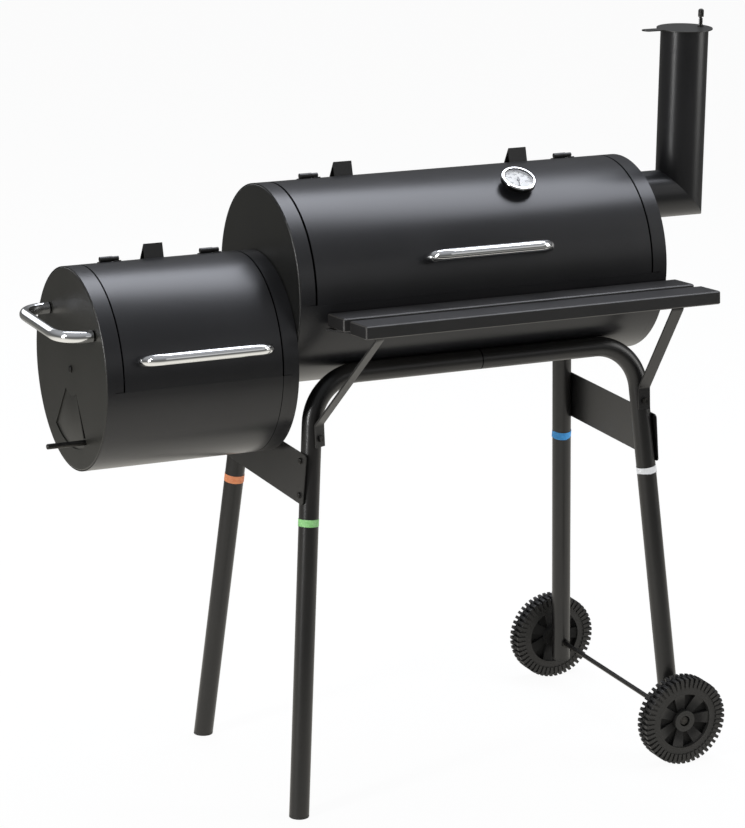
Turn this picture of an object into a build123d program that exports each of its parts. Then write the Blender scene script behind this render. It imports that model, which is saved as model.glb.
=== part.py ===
from build123d import *
import math
import os

# Offset smoker: a cooking drum with a lower firebox drum bolted to its left end, a chimney on its right end,
# a four-legged tube stand with two wheels and a slatted front shelf. Millimetres, +Z up, front towards -Y.
# While it is modelled, x and y start at the middle of the cooking drum and z at the floor.

# Sheet metal drums
SHEET = 1.2
DRUM_RADIUS = 159.5
MAIN_LENGTH = 647.0
FIREBOX_LENGTH = 317.0
DRUM_AXIS_HEIGHT = 822.0
FIREBOX_DROP = 106.5
CAP_CLEARANCE = 0.3
CAP_RIM_DEPTH = 36.0
CAP_EDGE_RADIUS = 2.5
BODY_INSET = 13.7
LID_INSET = 29.0
LID_GAP = 1.0
PASSAGE_WIDTH = 180.0
PASSAGE_HEIGHT = 110.0
PASSAGE_CORNER = 25.0

# Gaps: seats on a curved face, the drum in its cradle, screws in holes, parts that turn, faces that slide
SEAT = 0.05
CRADLE_GAP = 0.1
HOLE_CLEARANCE = 0.2
RUNNING_CLEARANCE = 0.05
SLIDING_GAP = 0.3

# Joining bolts between the drums
JOINING_BOLT_RADIUS = 3.0
JOINING_BOLT_HEAD = 10.0
JOINING_BOLT_HEAD_HEIGHT = 4.0
JOINING_BOLT_SPREAD_Y = 115.0
JOINING_BOLT_SPREAD_Z = 25.0

# Barrel hinges and the bent stops that catch the open lids
HINGE_SETBACK = 40.0
HINGE_LIFT = 4.6
FIXED_BARREL_RADIUS = 4.2
FIXED_BARREL_LENGTH = 21.0
LID_BARREL_RADIUS = 3.6
LID_BARREL_LENGTH = 10.0
HINGE_PIN_RADIUS = 2.0
HINGE_TAB = 1.5
HINGE_TAB_ARC = 12.0
MAIN_HINGE_SPREAD = 228.0
HINGE_SHIFT = 5.0
FIREBOX_HINGE_SPREAD = 84.0
LID_OPEN_ANGLE = 135.0
STOP_GAP = 0.6
STOP_REACH = 21.0
STOP_WIDTH = 32.0
STOP_SHEET = 2.0
STOP_FRONT_SPREAD = 7.0
STOP_BACK_SPREAD = 17.0
MAIN_STOP_SPREAD = 157.0

# Chrome bar handles
HANDLE_RADIUS = 9.0
LID_HANDLE_BEND = 26.0
LID_HANDLE_SPAN = 205.0
LID_HANDLE_STANDOFF = 36.0
MAIN_HANDLE_ANGLE = 20.0
FIREBOX_HANDLE_ANGLE = 15.7
TRANSPORT_HANDLE_BEND = 38.0
TRANSPORT_HANDLE_SPAN = 194.0
TRANSPORT_HANDLE_STANDOFF = 52.0
TRANSPORT_HANDLE_RISE = 77.0
TRANSPORT_HANDLE_SHIFT = 6.0
HANDLE_SCREW_RADIUS = 3.0
HANDLE_SCREW_GRIP = 14.0
HANDLE_SCREW_HEAD = 5.5
HANDLE_SCREW_HEAD_HEIGHT = 3.0

# Thermometer in the main lid
GAUGE_X = 89.5
GAUGE_ANGLE = 62.0
GAUGE_RADIUS = 28.5
GAUGE_DEPTH = 8.5
GAUGE_WALL = 1.5
GAUGE_LIP = 2.5
GAUGE_LIP_THICKNESS = 1.0
GAUGE_EDGE = 2.0
GAUGE_FIT = 0.1
GAUGE_NUT_HEIGHT = 5.0
GAUGE_COLLAR_HEIGHT = 9.0
GAUGE_COLLAR_WIDTH = 17.0
GAUGE_PROBE_RADIUS = 4.0
GAUGE_PROBE_LENGTH = 45.0
GAUGE_DIAL = 1.0
GAUGE_GLASS = 1.5
GAUGE_SPINDLE_RADIUS = 1.0
NEEDLE_LENGTH = 20.0
NEEDLE_TAIL = 6.0
NEEDLE_WIDTH = 2.0
NEEDLE_THICKNESS = 0.8
NEEDLE_HUB_RADIUS = 2.6
NEEDLE_LIFT = 1.2
NEEDLE_REST_ANGLE = 164.0

# Damper: a vent in the firebox end, a flap that hangs behind it and the knob that reaches out through it
VENT_INNER = 42.0
VENT_OUTER = 125.0
VENT_HALF_ANGLE = 33.7
DAMPER_SHEET = 2.0
DAMPER_LAP = 5.0
DAMPER_TOP = 10.0
RIVET_RADIUS = 3.0
RIVET_HEAD = 6.0
RIVET_HEAD_HEIGHT = 2.5
KNOB_RADIUS = 4.3
KNOB_REACH = 61.0
KNOB_SWING_RADIUS = 118.0
KNOB_ANGLE = 29.0
KNOB_CHAMFER = 1.0

# Chimney
FLUE_RADIUS = 39.3
FLUE_WALL = 1.2
FLUE_RISE = 90.0
FLUE_REACH = 109.0
FLUE_TAIL = 10.0
FLUE_TOP = 1185.0
FLUE_CAP_RADIUS = 46.0
FLUE_CAP_SHEET = 1.5
FLUE_TAB_REACH = 79.0
FLUE_TAB_WIDTH = 20.0
FLUE_PIVOT_OFFSET = 30.0
FLUE_BRACKET_WIDTH = 18.0
FLUE_BRACKET_LENGTH = 16.0
FLUE_BRACKET_THICKNESS = 3.0
FLUE_BOLT_RADIUS = 2.0
FLUE_BOLT_HEAD = 7.0
FLUE_BOLT_HEAD_HEIGHT = 3.0
SPRING_SEAT_RADIUS = 5.0
SPRING_SEAT = 1.5
SPRING_WIRE = 1.1
SPRING_DIAMETER = 7.0
SPRING_PITCH = 2.2
SPRING_HALF_TURNS = 9
SPRING_END_BEND = 1.3
SPRING_SAMPLES = 400
LOCK_NUT_WIDTH = 9.3
LOCK_NUT_HEIGHT = 7.5
LOCK_NUT_DOME = 5.5

# Tube stand
TUBE_RADIUS = 16.0
TUBE_WALL = 1.5
TUBE_BEND = 80.0
RAIL_SPREAD = 124.0
SEAM_X = 4.0
SPIGOT_LENGTH = 40.0
CORNER_LEFT_X = -285.0
CORNER_RIGHT_X = 287.0
FOOT_LEFT_X = -337.0
FOOT_RIGHT_X = 348.0
FOOT_SPREAD = 200.0
RIGHT_LEG_END = 40.0
PLUG_FLANGE = 4.0
PLUG_DEPTH = 26.0
PLUG_CLEARANCE = 0.1
DRUM_BOLT_X = 150.0
DRUM_BOLT_RADIUS = 3.0
DRUM_BOLT_HEAD = 10.0
DRUM_BOLT_HEAD_HEIGHT = 4.0
BRACE_DROP = 118.0
BRACE_HEIGHT = 80.0
BRACE_HALF_LENGTH = 158.0
BRACE_SHEET = 1.5
BRACE_CORNER = 6.0
BRACE_SCREW_SPREAD = 27.0
BRACE_SCREW_RADIUS = 2.5
BRACE_SCREW_LENGTH = 10.0
BRACE_SCREW_HEAD = 5.0
BRACE_SCREW_HEAD_HEIGHT = 3.0

# Front shelf on two bent straps
SLAT_LENGTH = 618.0
SLAT_LEFT_X = -279.0
SLAT_WIDTH = 60.0
SLAT_THICKNESS = 21.0
SLAT_GAP = 22.0
SLAT_CHAMFER = 2.0
SHELF_TILT = 4.8
SHELF_FRONT_Y = -302.0
SHELF_DROP = 3.0
STRAP_WIDTH = 20.0
STRAP_THICKNESS = 3.0
STRAP_BEND = 6.0
STRAP_SLACK = 0.45
STRAP_TURN_LEFT = 24.0
STRAP_TURN_RIGHT = -4.0
STRAP_BOLT_DROP = 13.7
STRAP_TAB_BELOW = 14.0
STRAP_TAB_ABOVE = 22.0
STRAP_FRONT_Y = -266.0
STRAP_BACK_Y = -168.0
STRAP_BOLT_RADIUS = 3.0
STRAP_BOLT_LENGTH = 12.0
STRAP_BOLT_HEAD = 10.0
STRAP_BOLT_HEAD_HEIGHT = 4.0
SLAT_SCREW_RADIUS = 2.0
SLAT_SCREW_LENGTH = 16.0
SLAT_SCREW_HEAD = 4.0
SLAT_SCREW_HEAD_HEIGHT = 2.5
SLAT_SCREW_EDGE = 6.0

# Wheels
AXLE_RADIUS = 4.0
AXLE_HEIGHT = 74.0
WHEEL_WIDTH = 30.0
WHEEL_LEG_GAP = 2.5
SPACER_RADIUS = 8.0
AXLE_NUT_WIDTH = 13.0
AXLE_NUT_HEIGHT = 5.0
TYRE_BORE = 50.0
TYRE_CARCASS_RADIUS = 70.0
TYRE_CARCASS_WIDTH = 26.0
TYRE_SHOULDER = 4.0
TYRE_RIB_RADIUS = 72.5
TYRE_RIB_WIDTH = 3.0
LUG_COUNT = 48
LUG_WIDTH = 5.0
LUG_FOOT_RADIUS = 58.0
HUB_FIT = 0.1
HUB_RIM_INNER = 46.5
HUB_BOSS_RADIUS = 18.0
HUB_BOSS_RECESS = 2.0
HUB_NUT_POCKET = 9.0
HUB_NUT_POCKET_DEPTH = 8.0
HUB_WEB = 4.0
SPOKE_COUNT = 7
SPOKE_ROOT_WIDTH = 13.0
SPOKE_RIM_WIDTH = 21.0
SPOKE_ROOT_DROP = 9.0
SPOKE_RIM_DROP = 3.0

# Grates inside the drums
GRATE_BAR = 4.0
GRATE_LENGTH = 275.0
GRATE_DEPTH = 290.0
GRATE_PITCH = 18.0
GRATE_APART = 10.0
GRATE_DROP = 22.0
FIRE_GRATE_BAR = 6.0
FIRE_GRATE_SIZE = 240.0
FIRE_GRATE_PITCH = 20.0
FIRE_GRATE_DROP = 70.0
GRATE_ROD_INSET = 22.0
GRATE_WELD = 1.0
LEDGE_WIDTH = 14.0
LEDGE_THICKNESS = 3.0

# Places that follow from the sizes above
UPWARD = (Align.CENTER, Align.CENTER, Align.MIN)
DOWNWARD = (Align.CENTER, Align.CENTER, Align.MAX)
drum_inner = DRUM_RADIUS - SHEET
cap_radius = drum_inner - CAP_CLEARANCE
main_left = -MAIN_LENGTH / 2
main_right = MAIN_LENGTH / 2
firebox_left = main_left - FIREBOX_LENGTH
firebox_x = main_left - FIREBOX_LENGTH / 2
firebox_axis = DRUM_AXIS_HEIGHT - FIREBOX_DROP
passage_height = DRUM_AXIS_HEIGHT - FIREBOX_DROP / 2
hinge_radius = DRUM_RADIUS + HINGE_LIFT
hinge_rise = math.sqrt(hinge_radius**2 - HINGE_SETBACK**2)
hinge_angle = 90 + math.degrees(math.asin(HINGE_SETBACK / hinge_radius))
seam_angle = math.degrees(LID_GAP / DRUM_RADIUS)
cradle_radius = DRUM_RADIUS + TUBE_RADIUS + CRADLE_GAP
rail_angle = math.degrees(math.acos(RAIL_SPREAD / cradle_radius))
rail_height = DRUM_AXIS_HEIGHT - math.sqrt(cradle_radius**2 - RAIL_SPREAD**2)
rail_angles = (-rail_angle, 180 + rail_angle)
brace_height = rail_height - BRACE_DROP - BRACE_HEIGHT / 2
shelf_front_z = DRUM_AXIS_HEIGHT - SHELF_DROP
strap_bolt_height = rail_height - TUBE_BEND - STRAP_BOLT_DROP

nodes = {}


def on_drum(x, angle, radius, axis_height):
    """A plane facing out from a drum's axis, its angle measured up from the front."""
    turn = math.radians(angle)
    outward = Vector(0, -math.cos(turn), math.sin(turn))
    return Plane(origin=Vector(x, 0, axis_height) + outward * radius, x_dir=(1, 0, 0), z_dir=outward)


def rolled_sheet(x_from, x_to, angle_from, angle_to, inner, outer, axis_height):
    """A strip of sheet rolled about a drum's axis, between two angles measured up from the front."""
    section = Plane(origin=(x_from, 0, axis_height), x_dir=(0, -1, 0), z_dir=(-1, 0, 0))
    outside = CenterArc((0, 0), outer, angle_from, angle_to - angle_from)
    inside = CenterArc((0, 0), inner, angle_from, angle_to - angle_from)
    face = make_face([outside, Line(outside @ 1, inside @ 1), inside, Line(inside @ 0, outside @ 0)])
    return extrude(section * face, x_to - x_from, dir=(1, 0, 0))


def sweep_along(path, section):
    """A section swept square to the start of a path."""
    return sweep(Plane(origin=path @ 0, z_dir=path % 0) * section, path)


def hex_prism(width, height):
    """A hexagonal prism standing on z = 0, with its size across the flats."""
    return extrude(RegularPolygon(width / 2, 6, major_radius=False), height)


def hex_bolt(radius, length, head_width, head_height):
    """A hexagon bolt along +Z, the underside of its head at z = 0."""
    head = Pos(0, 0, -head_height) * hex_prism(head_width, head_height)
    return head + Cylinder(radius, length, align=UPWARD)


def round_head(head_radius, head_height):
    """A rounded screw head below z = 0."""
    head = Cylinder(head_radius, head_height, align=DOWNWARD)
    return fillet(head.edges().group_by(Axis.Z)[0], head_height / 2)


def round_screw(radius, length, head_radius, head_height):
    """A round-headed screw along +Z, the underside of its head at z = 0."""
    return round_head(head_radius, head_height) + Cylinder(radius, length, align=UPWARD)


def hole(radius, reach):
    """A cutter for a round hole, reaching the same way above and below z = 0."""
    return Cylinder(radius, 2 * reach)


def dish_depth(half_width, inside_radius):
    """How far a flat head of this half width stands off the hollow side of a drum or tube."""
    return inside_radius - math.sqrt(inside_radius**2 - half_width**2) + SEAT


def end_cap():
    """A pressed end cap, its outer face on x = 0 and its rim towards -X."""
    bend_centre = (-CAP_EDGE_RADIUS, cap_radius - CAP_EDGE_RADIUS)
    outer_bend = CenterArc(bend_centre, CAP_EDGE_RADIUS, 0, 90)
    inner_bend = CenterArc(bend_centre, CAP_EDGE_RADIUS - SHEET, 0, 90)
    rim_outer = (-CAP_RIM_DEPTH, cap_radius)
    rim_inner = (-CAP_RIM_DEPTH, cap_radius - SHEET)
    outline = [
        Line((0, 0), outer_bend @ 0),
        outer_bend,
        Line(outer_bend @ 1, rim_outer),
        Line(rim_outer, rim_inner),
        Line(rim_inner, inner_bend @ 1),
        inner_bend,
        Line(inner_bend @ 0, (-SHEET, 0)),
        Line((-SHEET, 0), (0, 0)),
    ]
    return revolve(Plane.XZ * make_face(outline), Axis.X)


# Drum sheets: each is open from the front seam up to the hinge line
def drum_body(x_from, x_to, axis_height):
    """The fixed sheet of a drum, from the hinge line down the back and round to the front seam."""
    start = hinge_angle + seam_angle / 2
    return rolled_sheet(
        x_from + BODY_INSET, x_to - BODY_INSET, start, 360 - seam_angle, drum_inner, DRUM_RADIUS, axis_height
    )


drum_bolt_planes = []
for bolt_x in (-DRUM_BOLT_X, DRUM_BOLT_X):
    for angle in rail_angles:
        drum_bolt_planes.append(on_drum(bolt_x, angle, cradle_radius, DRUM_AXIS_HEIGHT))

main_body = drum_body(main_left, main_right, DRUM_AXIS_HEIGHT)
for plane in drum_bolt_planes:
    main_body -= plane * Cylinder(DRUM_BOLT_RADIUS + HOLE_CLEARANCE, 4 * TUBE_RADIUS)
nodes["main_body"] = main_body
nodes["firebox_body"] = drum_body(firebox_left, main_left, firebox_axis)

# End caps, the smoke passage between the drums and the bolts round it
right_cap = end_cap()
left_cap = mirror(right_cap, Plane.YZ)
passage_plane = Plane(origin=(main_left, 0, passage_height), x_dir=(0, 1, 0), z_dir=(1, 0, 0))
passage = extrude(
    passage_plane * RectangleRounded(PASSAGE_WIDTH, PASSAGE_HEIGHT, PASSAGE_CORNER), 2 * SHEET, both=True
)
joining_bolts = []
for y in (-JOINING_BOLT_SPREAD_Y, JOINING_BOLT_SPREAD_Y):
    for rise in (-JOINING_BOLT_SPREAD_Z, JOINING_BOLT_SPREAD_Z):
        seat = Plane(origin=(main_left + SHEET, y, passage_height + rise), z_dir=(-1, 0, 0))
        nut = Pos(0, 0, 2 * SHEET) * hex_prism(JOINING_BOLT_HEAD, JOINING_BOLT_HEAD_HEIGHT)
        length = 2 * SHEET + JOINING_BOLT_HEAD_HEIGHT
        bolt = hex_bolt(JOINING_BOLT_RADIUS, length, JOINING_BOLT_HEAD, JOINING_BOLT_HEAD_HEIGHT)
        joining_bolts.append(seat * (bolt + nut))
        passage += seat * hole(JOINING_BOLT_RADIUS + HOLE_CLEARANCE, 4 * SHEET)
nodes["joining_bolts"] = Compound(children=joining_bolts)
nodes["main_end_left"] = Pos(main_left, 0, DRUM_AXIS_HEIGHT) * left_cap - passage
nodes["firebox_end_right"] = Pos(main_left, 0, firebox_axis) * right_cap - passage

flue_height = DRUM_AXIS_HEIGHT + FLUE_RISE
flue_x = main_right + FLUE_REACH
flue_start = Plane(origin=(main_right - FLUE_TAIL, 0, flue_height), z_dir=(1, 0, 0))
flue_hole = flue_start * Cylinder(FLUE_RADIUS + SLIDING_GAP, 2 * FLUE_TAIL, align=UPWARD)
nodes["main_end_right"] = Pos(main_right, 0, DRUM_AXIS_HEIGHT) * right_cap - flue_hole


# Lids, their bar handles and the screws that hold the handles from inside
def drum_lid(x_from, x_to, axis_height):
    """The swinging sheet of a drum, from the front seam up to the hinge line."""
    end = hinge_angle - seam_angle / 2
    return rolled_sheet(x_from + LID_INSET, x_to - LID_INSET, 0, end, drum_inner, DRUM_RADIUS, axis_height)


def bar_handle(span, standoff, foot, bend):
    """A bent round bar whose two feet stand at height foot along +Z, drilled for its screws."""
    path = FilletPolyline(
        (-span / 2, 0, foot),
        (-span / 2, 0, standoff),
        (span / 2, 0, standoff),
        (span / 2, 0, foot),
        radius=bend,
    )
    bar = sweep_along(path, Circle(HANDLE_RADIUS))
    for x in (-span / 2, span / 2):
        bar -= Pos(x, 0, foot) * hole(HANDLE_SCREW_RADIUS + HOLE_CLEARANCE, HANDLE_SCREW_GRIP)
    return bar


def handle_screw(buried):
    """A handle screw along +Z that passes through buried millimetres before it enters the bar."""
    length = buried + HANDLE_SCREW_GRIP - HOLE_CLEARANCE
    return round_screw(HANDLE_SCREW_RADIUS, length, HANDLE_SCREW_HEAD, HANDLE_SCREW_HEAD_HEIGHT)


screw_dish = dish_depth(HANDLE_SCREW_HEAD, drum_inner)
screw_hole = hole(HANDLE_SCREW_RADIUS + HOLE_CLEARANCE, HANDLE_SCREW_GRIP)


def fit_lid_handle(name, lid, x_middle, angle, axis_height):
    """Drill a lid for its handle and add the lid, the handle and its screws."""
    foot_plane = on_drum(x_middle, angle, DRUM_RADIUS, axis_height)
    screws = []
    for x in (-LID_HANDLE_SPAN / 2, LID_HANDLE_SPAN / 2):
        head_plane = on_drum(x_middle + x, angle, drum_inner - screw_dish, axis_height)
        screws.append(head_plane * handle_screw(screw_dish + SHEET + SEAT))
        lid -= head_plane * screw_hole
    nodes[name] = lid
    nodes[name + "_handle"] = foot_plane * bar_handle(
        LID_HANDLE_SPAN, LID_HANDLE_STANDOFF, SEAT, LID_HANDLE_BEND
    )
    nodes[name + "_handle_screws"] = Compound(children=screws)


gauge_plane = on_drum(GAUGE_X, GAUGE_ANGLE, DRUM_RADIUS, DRUM_AXIS_HEIGHT)
main_lid = drum_lid(main_left, main_right, DRUM_AXIS_HEIGHT)
main_lid -= gauge_plane * hole(GAUGE_PROBE_RADIUS + HOLE_CLEARANCE, GAUGE_COLLAR_HEIGHT)
fit_lid_handle("main_lid", main_lid, 0, MAIN_HANDLE_ANGLE, DRUM_AXIS_HEIGHT)
firebox_lid = drum_lid(firebox_left, main_left, firebox_axis)
fit_lid_handle("firebox_lid", firebox_lid, firebox_x, FIREBOX_HANDLE_ANGLE, firebox_axis)

# Barrel hinges: a long barrel welded to the fixed sheet, a short one to the lid, on one pin
hinge_length = FIXED_BARREL_LENGTH + SLIDING_GAP + LID_BARREL_LENGTH
tab_angle = math.degrees(HINGE_TAB_ARC / DRUM_RADIUS)
tab_inner = DRUM_RADIUS + SEAT
tab_outer = tab_inner + HINGE_TAB


def hinge_barrel(x_from, length, radius, angle_from, angle_to, axis_height):
    """A hinge barrel with the tab that welds it to the sheet, bored for the pin."""
    end_plane = Plane(origin=(x_from, HINGE_SETBACK, axis_height + hinge_rise), z_dir=(1, 0, 0))
    barrel = end_plane * Cylinder(radius, length, align=UPWARD)
    barrel += rolled_sheet(x_from, x_from + length, angle_from, angle_to, tab_inner, tab_outer, axis_height)
    return barrel - end_plane * hole(HINGE_PIN_RADIUS + RUNNING_CLEARANCE, hinge_length)


fixed_barrels = []
hinge_pins = []
lid_barrels = {"main_lid": [], "firebox_lid": []}
hinge_places = [
    ("main_lid", -MAIN_HINGE_SPREAD, DRUM_AXIS_HEIGHT),
    ("main_lid", MAIN_HINGE_SPREAD, DRUM_AXIS_HEIGHT),
    ("firebox_lid", firebox_x - FIREBOX_HINGE_SPREAD, firebox_axis),
    ("firebox_lid", firebox_x + FIREBOX_HINGE_SPREAD, firebox_axis),
]
for lid_name, x_middle, axis_height in hinge_places:
    fixed_x = x_middle + HINGE_SHIFT - hinge_length / 2
    lid_x = fixed_x + FIXED_BARREL_LENGTH + SLIDING_GAP
    fixed_barrels.append(
        hinge_barrel(
            fixed_x,
            FIXED_BARREL_LENGTH,
            FIXED_BARREL_RADIUS,
            hinge_angle,
            hinge_angle + tab_angle,
            axis_height,
        )
    )
    lid_barrels[lid_name].append(
        hinge_barrel(
            lid_x,
            LID_BARREL_LENGTH,
            LID_BARREL_RADIUS,
            hinge_angle - tab_angle,
            hinge_angle,
            axis_height,
        )
    )
    pin_plane = Plane(origin=(fixed_x, HINGE_SETBACK, axis_height + hinge_rise), z_dir=(1, 0, 0))
    hinge_pins.append(pin_plane * Cylinder(HINGE_PIN_RADIUS, hinge_length, align=UPWARD))
nodes["hinge_leaves_fixed"] = Compound(children=fixed_barrels)
nodes["hinge_pins"] = Compound(children=hinge_pins)
for lid_name, barrels in lid_barrels.items():
    nodes[lid_name + "_hinge_leaves"] = Compound(children=barrels)


# Lid stops: the open lid is its closed circle turned about the hinge, and the ridge waits just outside it
def outward(angle):
    """Unit direction across a drum, (y, z), at an angle measured up from the front."""
    return Vector(-math.cos(math.radians(angle)), math.sin(math.radians(angle)))


open_angle = hinge_angle + LID_OPEN_ANGLE
open_centre = Vector(HINGE_SETBACK, hinge_rise) - outward(open_angle) * hinge_radius
reach_angle = math.degrees(STOP_REACH / DRUM_RADIUS)
stop_ridge = open_centre + outward(open_angle - reach_angle) * (DRUM_RADIUS + STOP_GAP)


def stop_leg(spread):
    """Direction from the ridge to the drum's surface, at a distance in y from the ridge."""
    foot_y = stop_ridge.X + spread
    return Vector(foot_y, math.sqrt(DRUM_RADIUS**2 - foot_y**2)) - stop_ridge


def lid_stop(x_middle, axis_height):
    """An inverted V of bent sheet, standing on the drum behind the hinge line."""
    front_leg = stop_leg(-STOP_FRONT_SPREAD)
    back_leg = stop_leg(STOP_BACK_SPREAD)
    middle = (front_leg.normalized() + back_leg.normalized()).normalized()
    half_angle = math.radians(front_leg.get_angle(back_leg)) / 2
    inward = middle * (STOP_SHEET / math.sin(half_angle))
    outer = Polygon(stop_ridge, stop_ridge + front_leg * 2, stop_ridge + back_leg * 2, align=None)
    section = Plane(origin=(x_middle, 0, axis_height), x_dir=(0, 1, 0), z_dir=(1, 0, 0))
    bent = extrude(section * (outer - Pos(inward) * outer), STOP_WIDTH / 2, both=True)
    drum_plane = Plane(origin=(x_middle, 0, axis_height), z_dir=(1, 0, 0))
    return bent - drum_plane * Cylinder(DRUM_RADIUS + SEAT, 2 * STOP_WIDTH)


stops = []
stops.append(lid_stop(-MAIN_STOP_SPREAD, DRUM_AXIS_HEIGHT))
stops.append(lid_stop(MAIN_STOP_SPREAD, DRUM_AXIS_HEIGHT))
stops.append(lid_stop(firebox_x, firebox_axis))
nodes["lid_stops"] = Compound(children=stops)

# Thermometer: a collar and probe through the lid carry the case, dial, glass and pointer
gauge_bore = GAUGE_RADIUS - GAUGE_WALL
gauge_face = GAUGE_COLLAR_HEIGHT + GAUGE_DEPTH
dial_seat = GAUGE_COLLAR_HEIGHT + GAUGE_WALL
needle_seat = dial_seat + GAUGE_DIAL + NEEDLE_LIFT
glass_top = gauge_face - GAUGE_LIP_THICKNESS
spindle_hole = hole(GAUGE_SPINDLE_RADIUS + RUNNING_CLEARANCE, gauge_face)
gauge_nut_top = -SHEET - dish_depth(GAUGE_COLLAR_WIDTH / math.sqrt(3), drum_inner)

stem = Pos(0, 0, SEAT) * hex_prism(GAUGE_COLLAR_WIDTH, GAUGE_COLLAR_HEIGHT - SEAT)
stem += Cylinder(GAUGE_PROBE_RADIUS, GAUGE_PROBE_LENGTH, align=DOWNWARD)
stem += Cylinder(GAUGE_PROBE_RADIUS, GAUGE_COLLAR_HEIGHT, align=UPWARD)
stem += Pos(0, 0, gauge_nut_top - GAUGE_NUT_HEIGHT) * hex_prism(GAUGE_COLLAR_WIDTH, GAUGE_NUT_HEIGHT)
stem += Cylinder(GAUGE_SPINDLE_RADIUS, needle_seat + NEEDLE_THICKNESS, align=UPWARD)
nodes["thermometer_stem"] = gauge_plane * stem

case = Cylinder(GAUGE_RADIUS, GAUGE_DEPTH, align=UPWARD)
case = fillet(case.edges().group_by(Axis.Z)[-1], GAUGE_EDGE)
case -= Pos(0, 0, GAUGE_WALL) * Cylinder(
    gauge_bore, GAUGE_DEPTH - GAUGE_WALL - GAUGE_LIP_THICKNESS, align=UPWARD
)
case -= Pos(0, 0, GAUGE_WALL) * Cylinder(gauge_bore - GAUGE_LIP, GAUGE_DEPTH, align=UPWARD)
nodes["thermometer_case"] = gauge_plane * (Pos(0, 0, GAUGE_COLLAR_HEIGHT) * case - spindle_hole)
dial = Pos(0, 0, dial_seat) * Cylinder(gauge_bore - GAUGE_FIT, GAUGE_DIAL, align=UPWARD)
nodes["thermometer_dial"] = gauge_plane * (dial - spindle_hole)
nodes["thermometer_lens"] = (
    gauge_plane * Pos(0, 0, glass_top) * Cylinder(gauge_bore - GAUGE_FIT, GAUGE_GLASS, align=DOWNWARD)
)
pointer = Polygon(
    (-NEEDLE_WIDTH / 2, -NEEDLE_TAIL),
    (NEEDLE_WIDTH / 2, -NEEDLE_TAIL),
    (NEEDLE_THICKNESS / 2, NEEDLE_LENGTH),
    (-NEEDLE_THICKNESS / 2, NEEDLE_LENGTH),
    align=None,
)
needle = Pos(0, 0, needle_seat) * extrude(pointer, NEEDLE_THICKNESS)
needle_hub_base = dial_seat + GAUGE_DIAL + SLIDING_GAP
needle_hub_height = needle_seat + NEEDLE_THICKNESS - needle_hub_base
needle += Pos(0, 0, needle_hub_base) * Cylinder(NEEDLE_HUB_RADIUS, needle_hub_height, align=UPWARD)
needle = Rot(0, 0, NEEDLE_REST_ANGLE) * needle
nodes["thermometer_needle"] = gauge_plane * (needle - spindle_hole)

# Firebox end: the damper flap hangs from a rivet behind its vent, and the transport handle is above it
firebox_face = Plane(origin=(firebox_left, 0, firebox_axis), x_dir=(0, -1, 0), z_dir=(-1, 0, 0))
handle_place = firebox_face * Pos(TRANSPORT_HANDLE_SHIFT, TRANSPORT_HANDLE_RISE, 0)
firebox_end = Pos(firebox_left, 0, firebox_axis) * left_cap
transport_screws = []
for x in (-TRANSPORT_HANDLE_SPAN / 2, TRANSPORT_HANDLE_SPAN / 2):
    head_place = handle_place * Pos(x, 0, -SHEET)
    transport_screws.append(head_place * handle_screw(SHEET))
    firebox_end -= head_place * screw_hole
nodes["transport_handle"] = handle_place * bar_handle(
    TRANSPORT_HANDLE_SPAN, TRANSPORT_HANDLE_STANDOFF, 0, TRANSPORT_HANDLE_BEND
)
nodes["transport_handle_screws"] = Compound(children=transport_screws)


def end_sector(inner, outer, half_angle):
    """A face between two radii about the middle of the firebox end, hanging straight down."""
    start = -90 - half_angle
    outside = CenterArc((0, 0), outer, start, 2 * half_angle)
    inside = CenterArc((0, 0), inner, start, 2 * half_angle)
    return make_face([outside, Line(outside @ 1, inside @ 1), inside, Line(inside @ 0, outside @ 0)])


vent = end_sector(VENT_INNER, VENT_OUTER, VENT_HALF_ANGLE)
firebox_end -= extrude(firebox_face * vent, 2 * SHEET, both=True)
firebox_end -= firebox_face * hole(RIVET_RADIUS + HOLE_CLEARANCE, 2 * SHEET)
nodes["firebox_end_left"] = firebox_end

flap_half_angle = VENT_HALF_ANGLE + math.degrees(DAMPER_LAP / VENT_INNER)
flap = end_sector(DAMPER_TOP / 2, VENT_OUTER + DAMPER_LAP, flap_half_angle) + Circle(DAMPER_TOP)
flap_plane = firebox_face * Pos(0, 0, -SHEET - SLIDING_GAP)
flap_solid = extrude(flap, -DAMPER_SHEET) - hole(RIVET_RADIUS + RUNNING_CLEARANCE, 2 * DAMPER_SHEET)
nodes["damper_flap"] = flap_plane * flap_solid
knob_length = SHEET + SLIDING_GAP + KNOB_REACH
knob = Cylinder(KNOB_RADIUS, knob_length, align=UPWARD)
knob = chamfer(knob.edges().group_by(Axis.Z)[-1], KNOB_CHAMFER)
knob_turn = math.radians(KNOB_ANGLE)
knob_place = Pos(KNOB_SWING_RADIUS * math.sin(knob_turn), -KNOB_SWING_RADIUS * math.cos(knob_turn))
nodes["damper_knob"] = flap_plane * knob_place * knob
rivet_plane = Plane(origin=firebox_face.origin, z_dir=firebox_face.z_dir * -1)
rivet_length = SHEET + DAMPER_SHEET + 2 * SLIDING_GAP
rivet = round_screw(RIVET_RADIUS, rivet_length, RIVET_HEAD, RIVET_HEAD_HEIGHT)
rivet += Pos(0, 0, rivet_length) * mirror(round_head(RIVET_HEAD, RIVET_HEAD_HEIGHT), Plane.XY)
nodes["damper_rivet"] = rivet_plane * rivet

# Chimney: a stub through the right end, mitred to an upright stack with a swinging cap
mitre = Plane(origin=(flue_x, 0, flue_height), z_dir=(1, 0, 1))
flue_bore = FLUE_RADIUS - FLUE_WALL


def flue_tube(length):
    """A straight length of flue along +Z."""
    return Cylinder(FLUE_RADIUS, length, align=UPWARD) - Cylinder(flue_bore, length, align=UPWARD)


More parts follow.
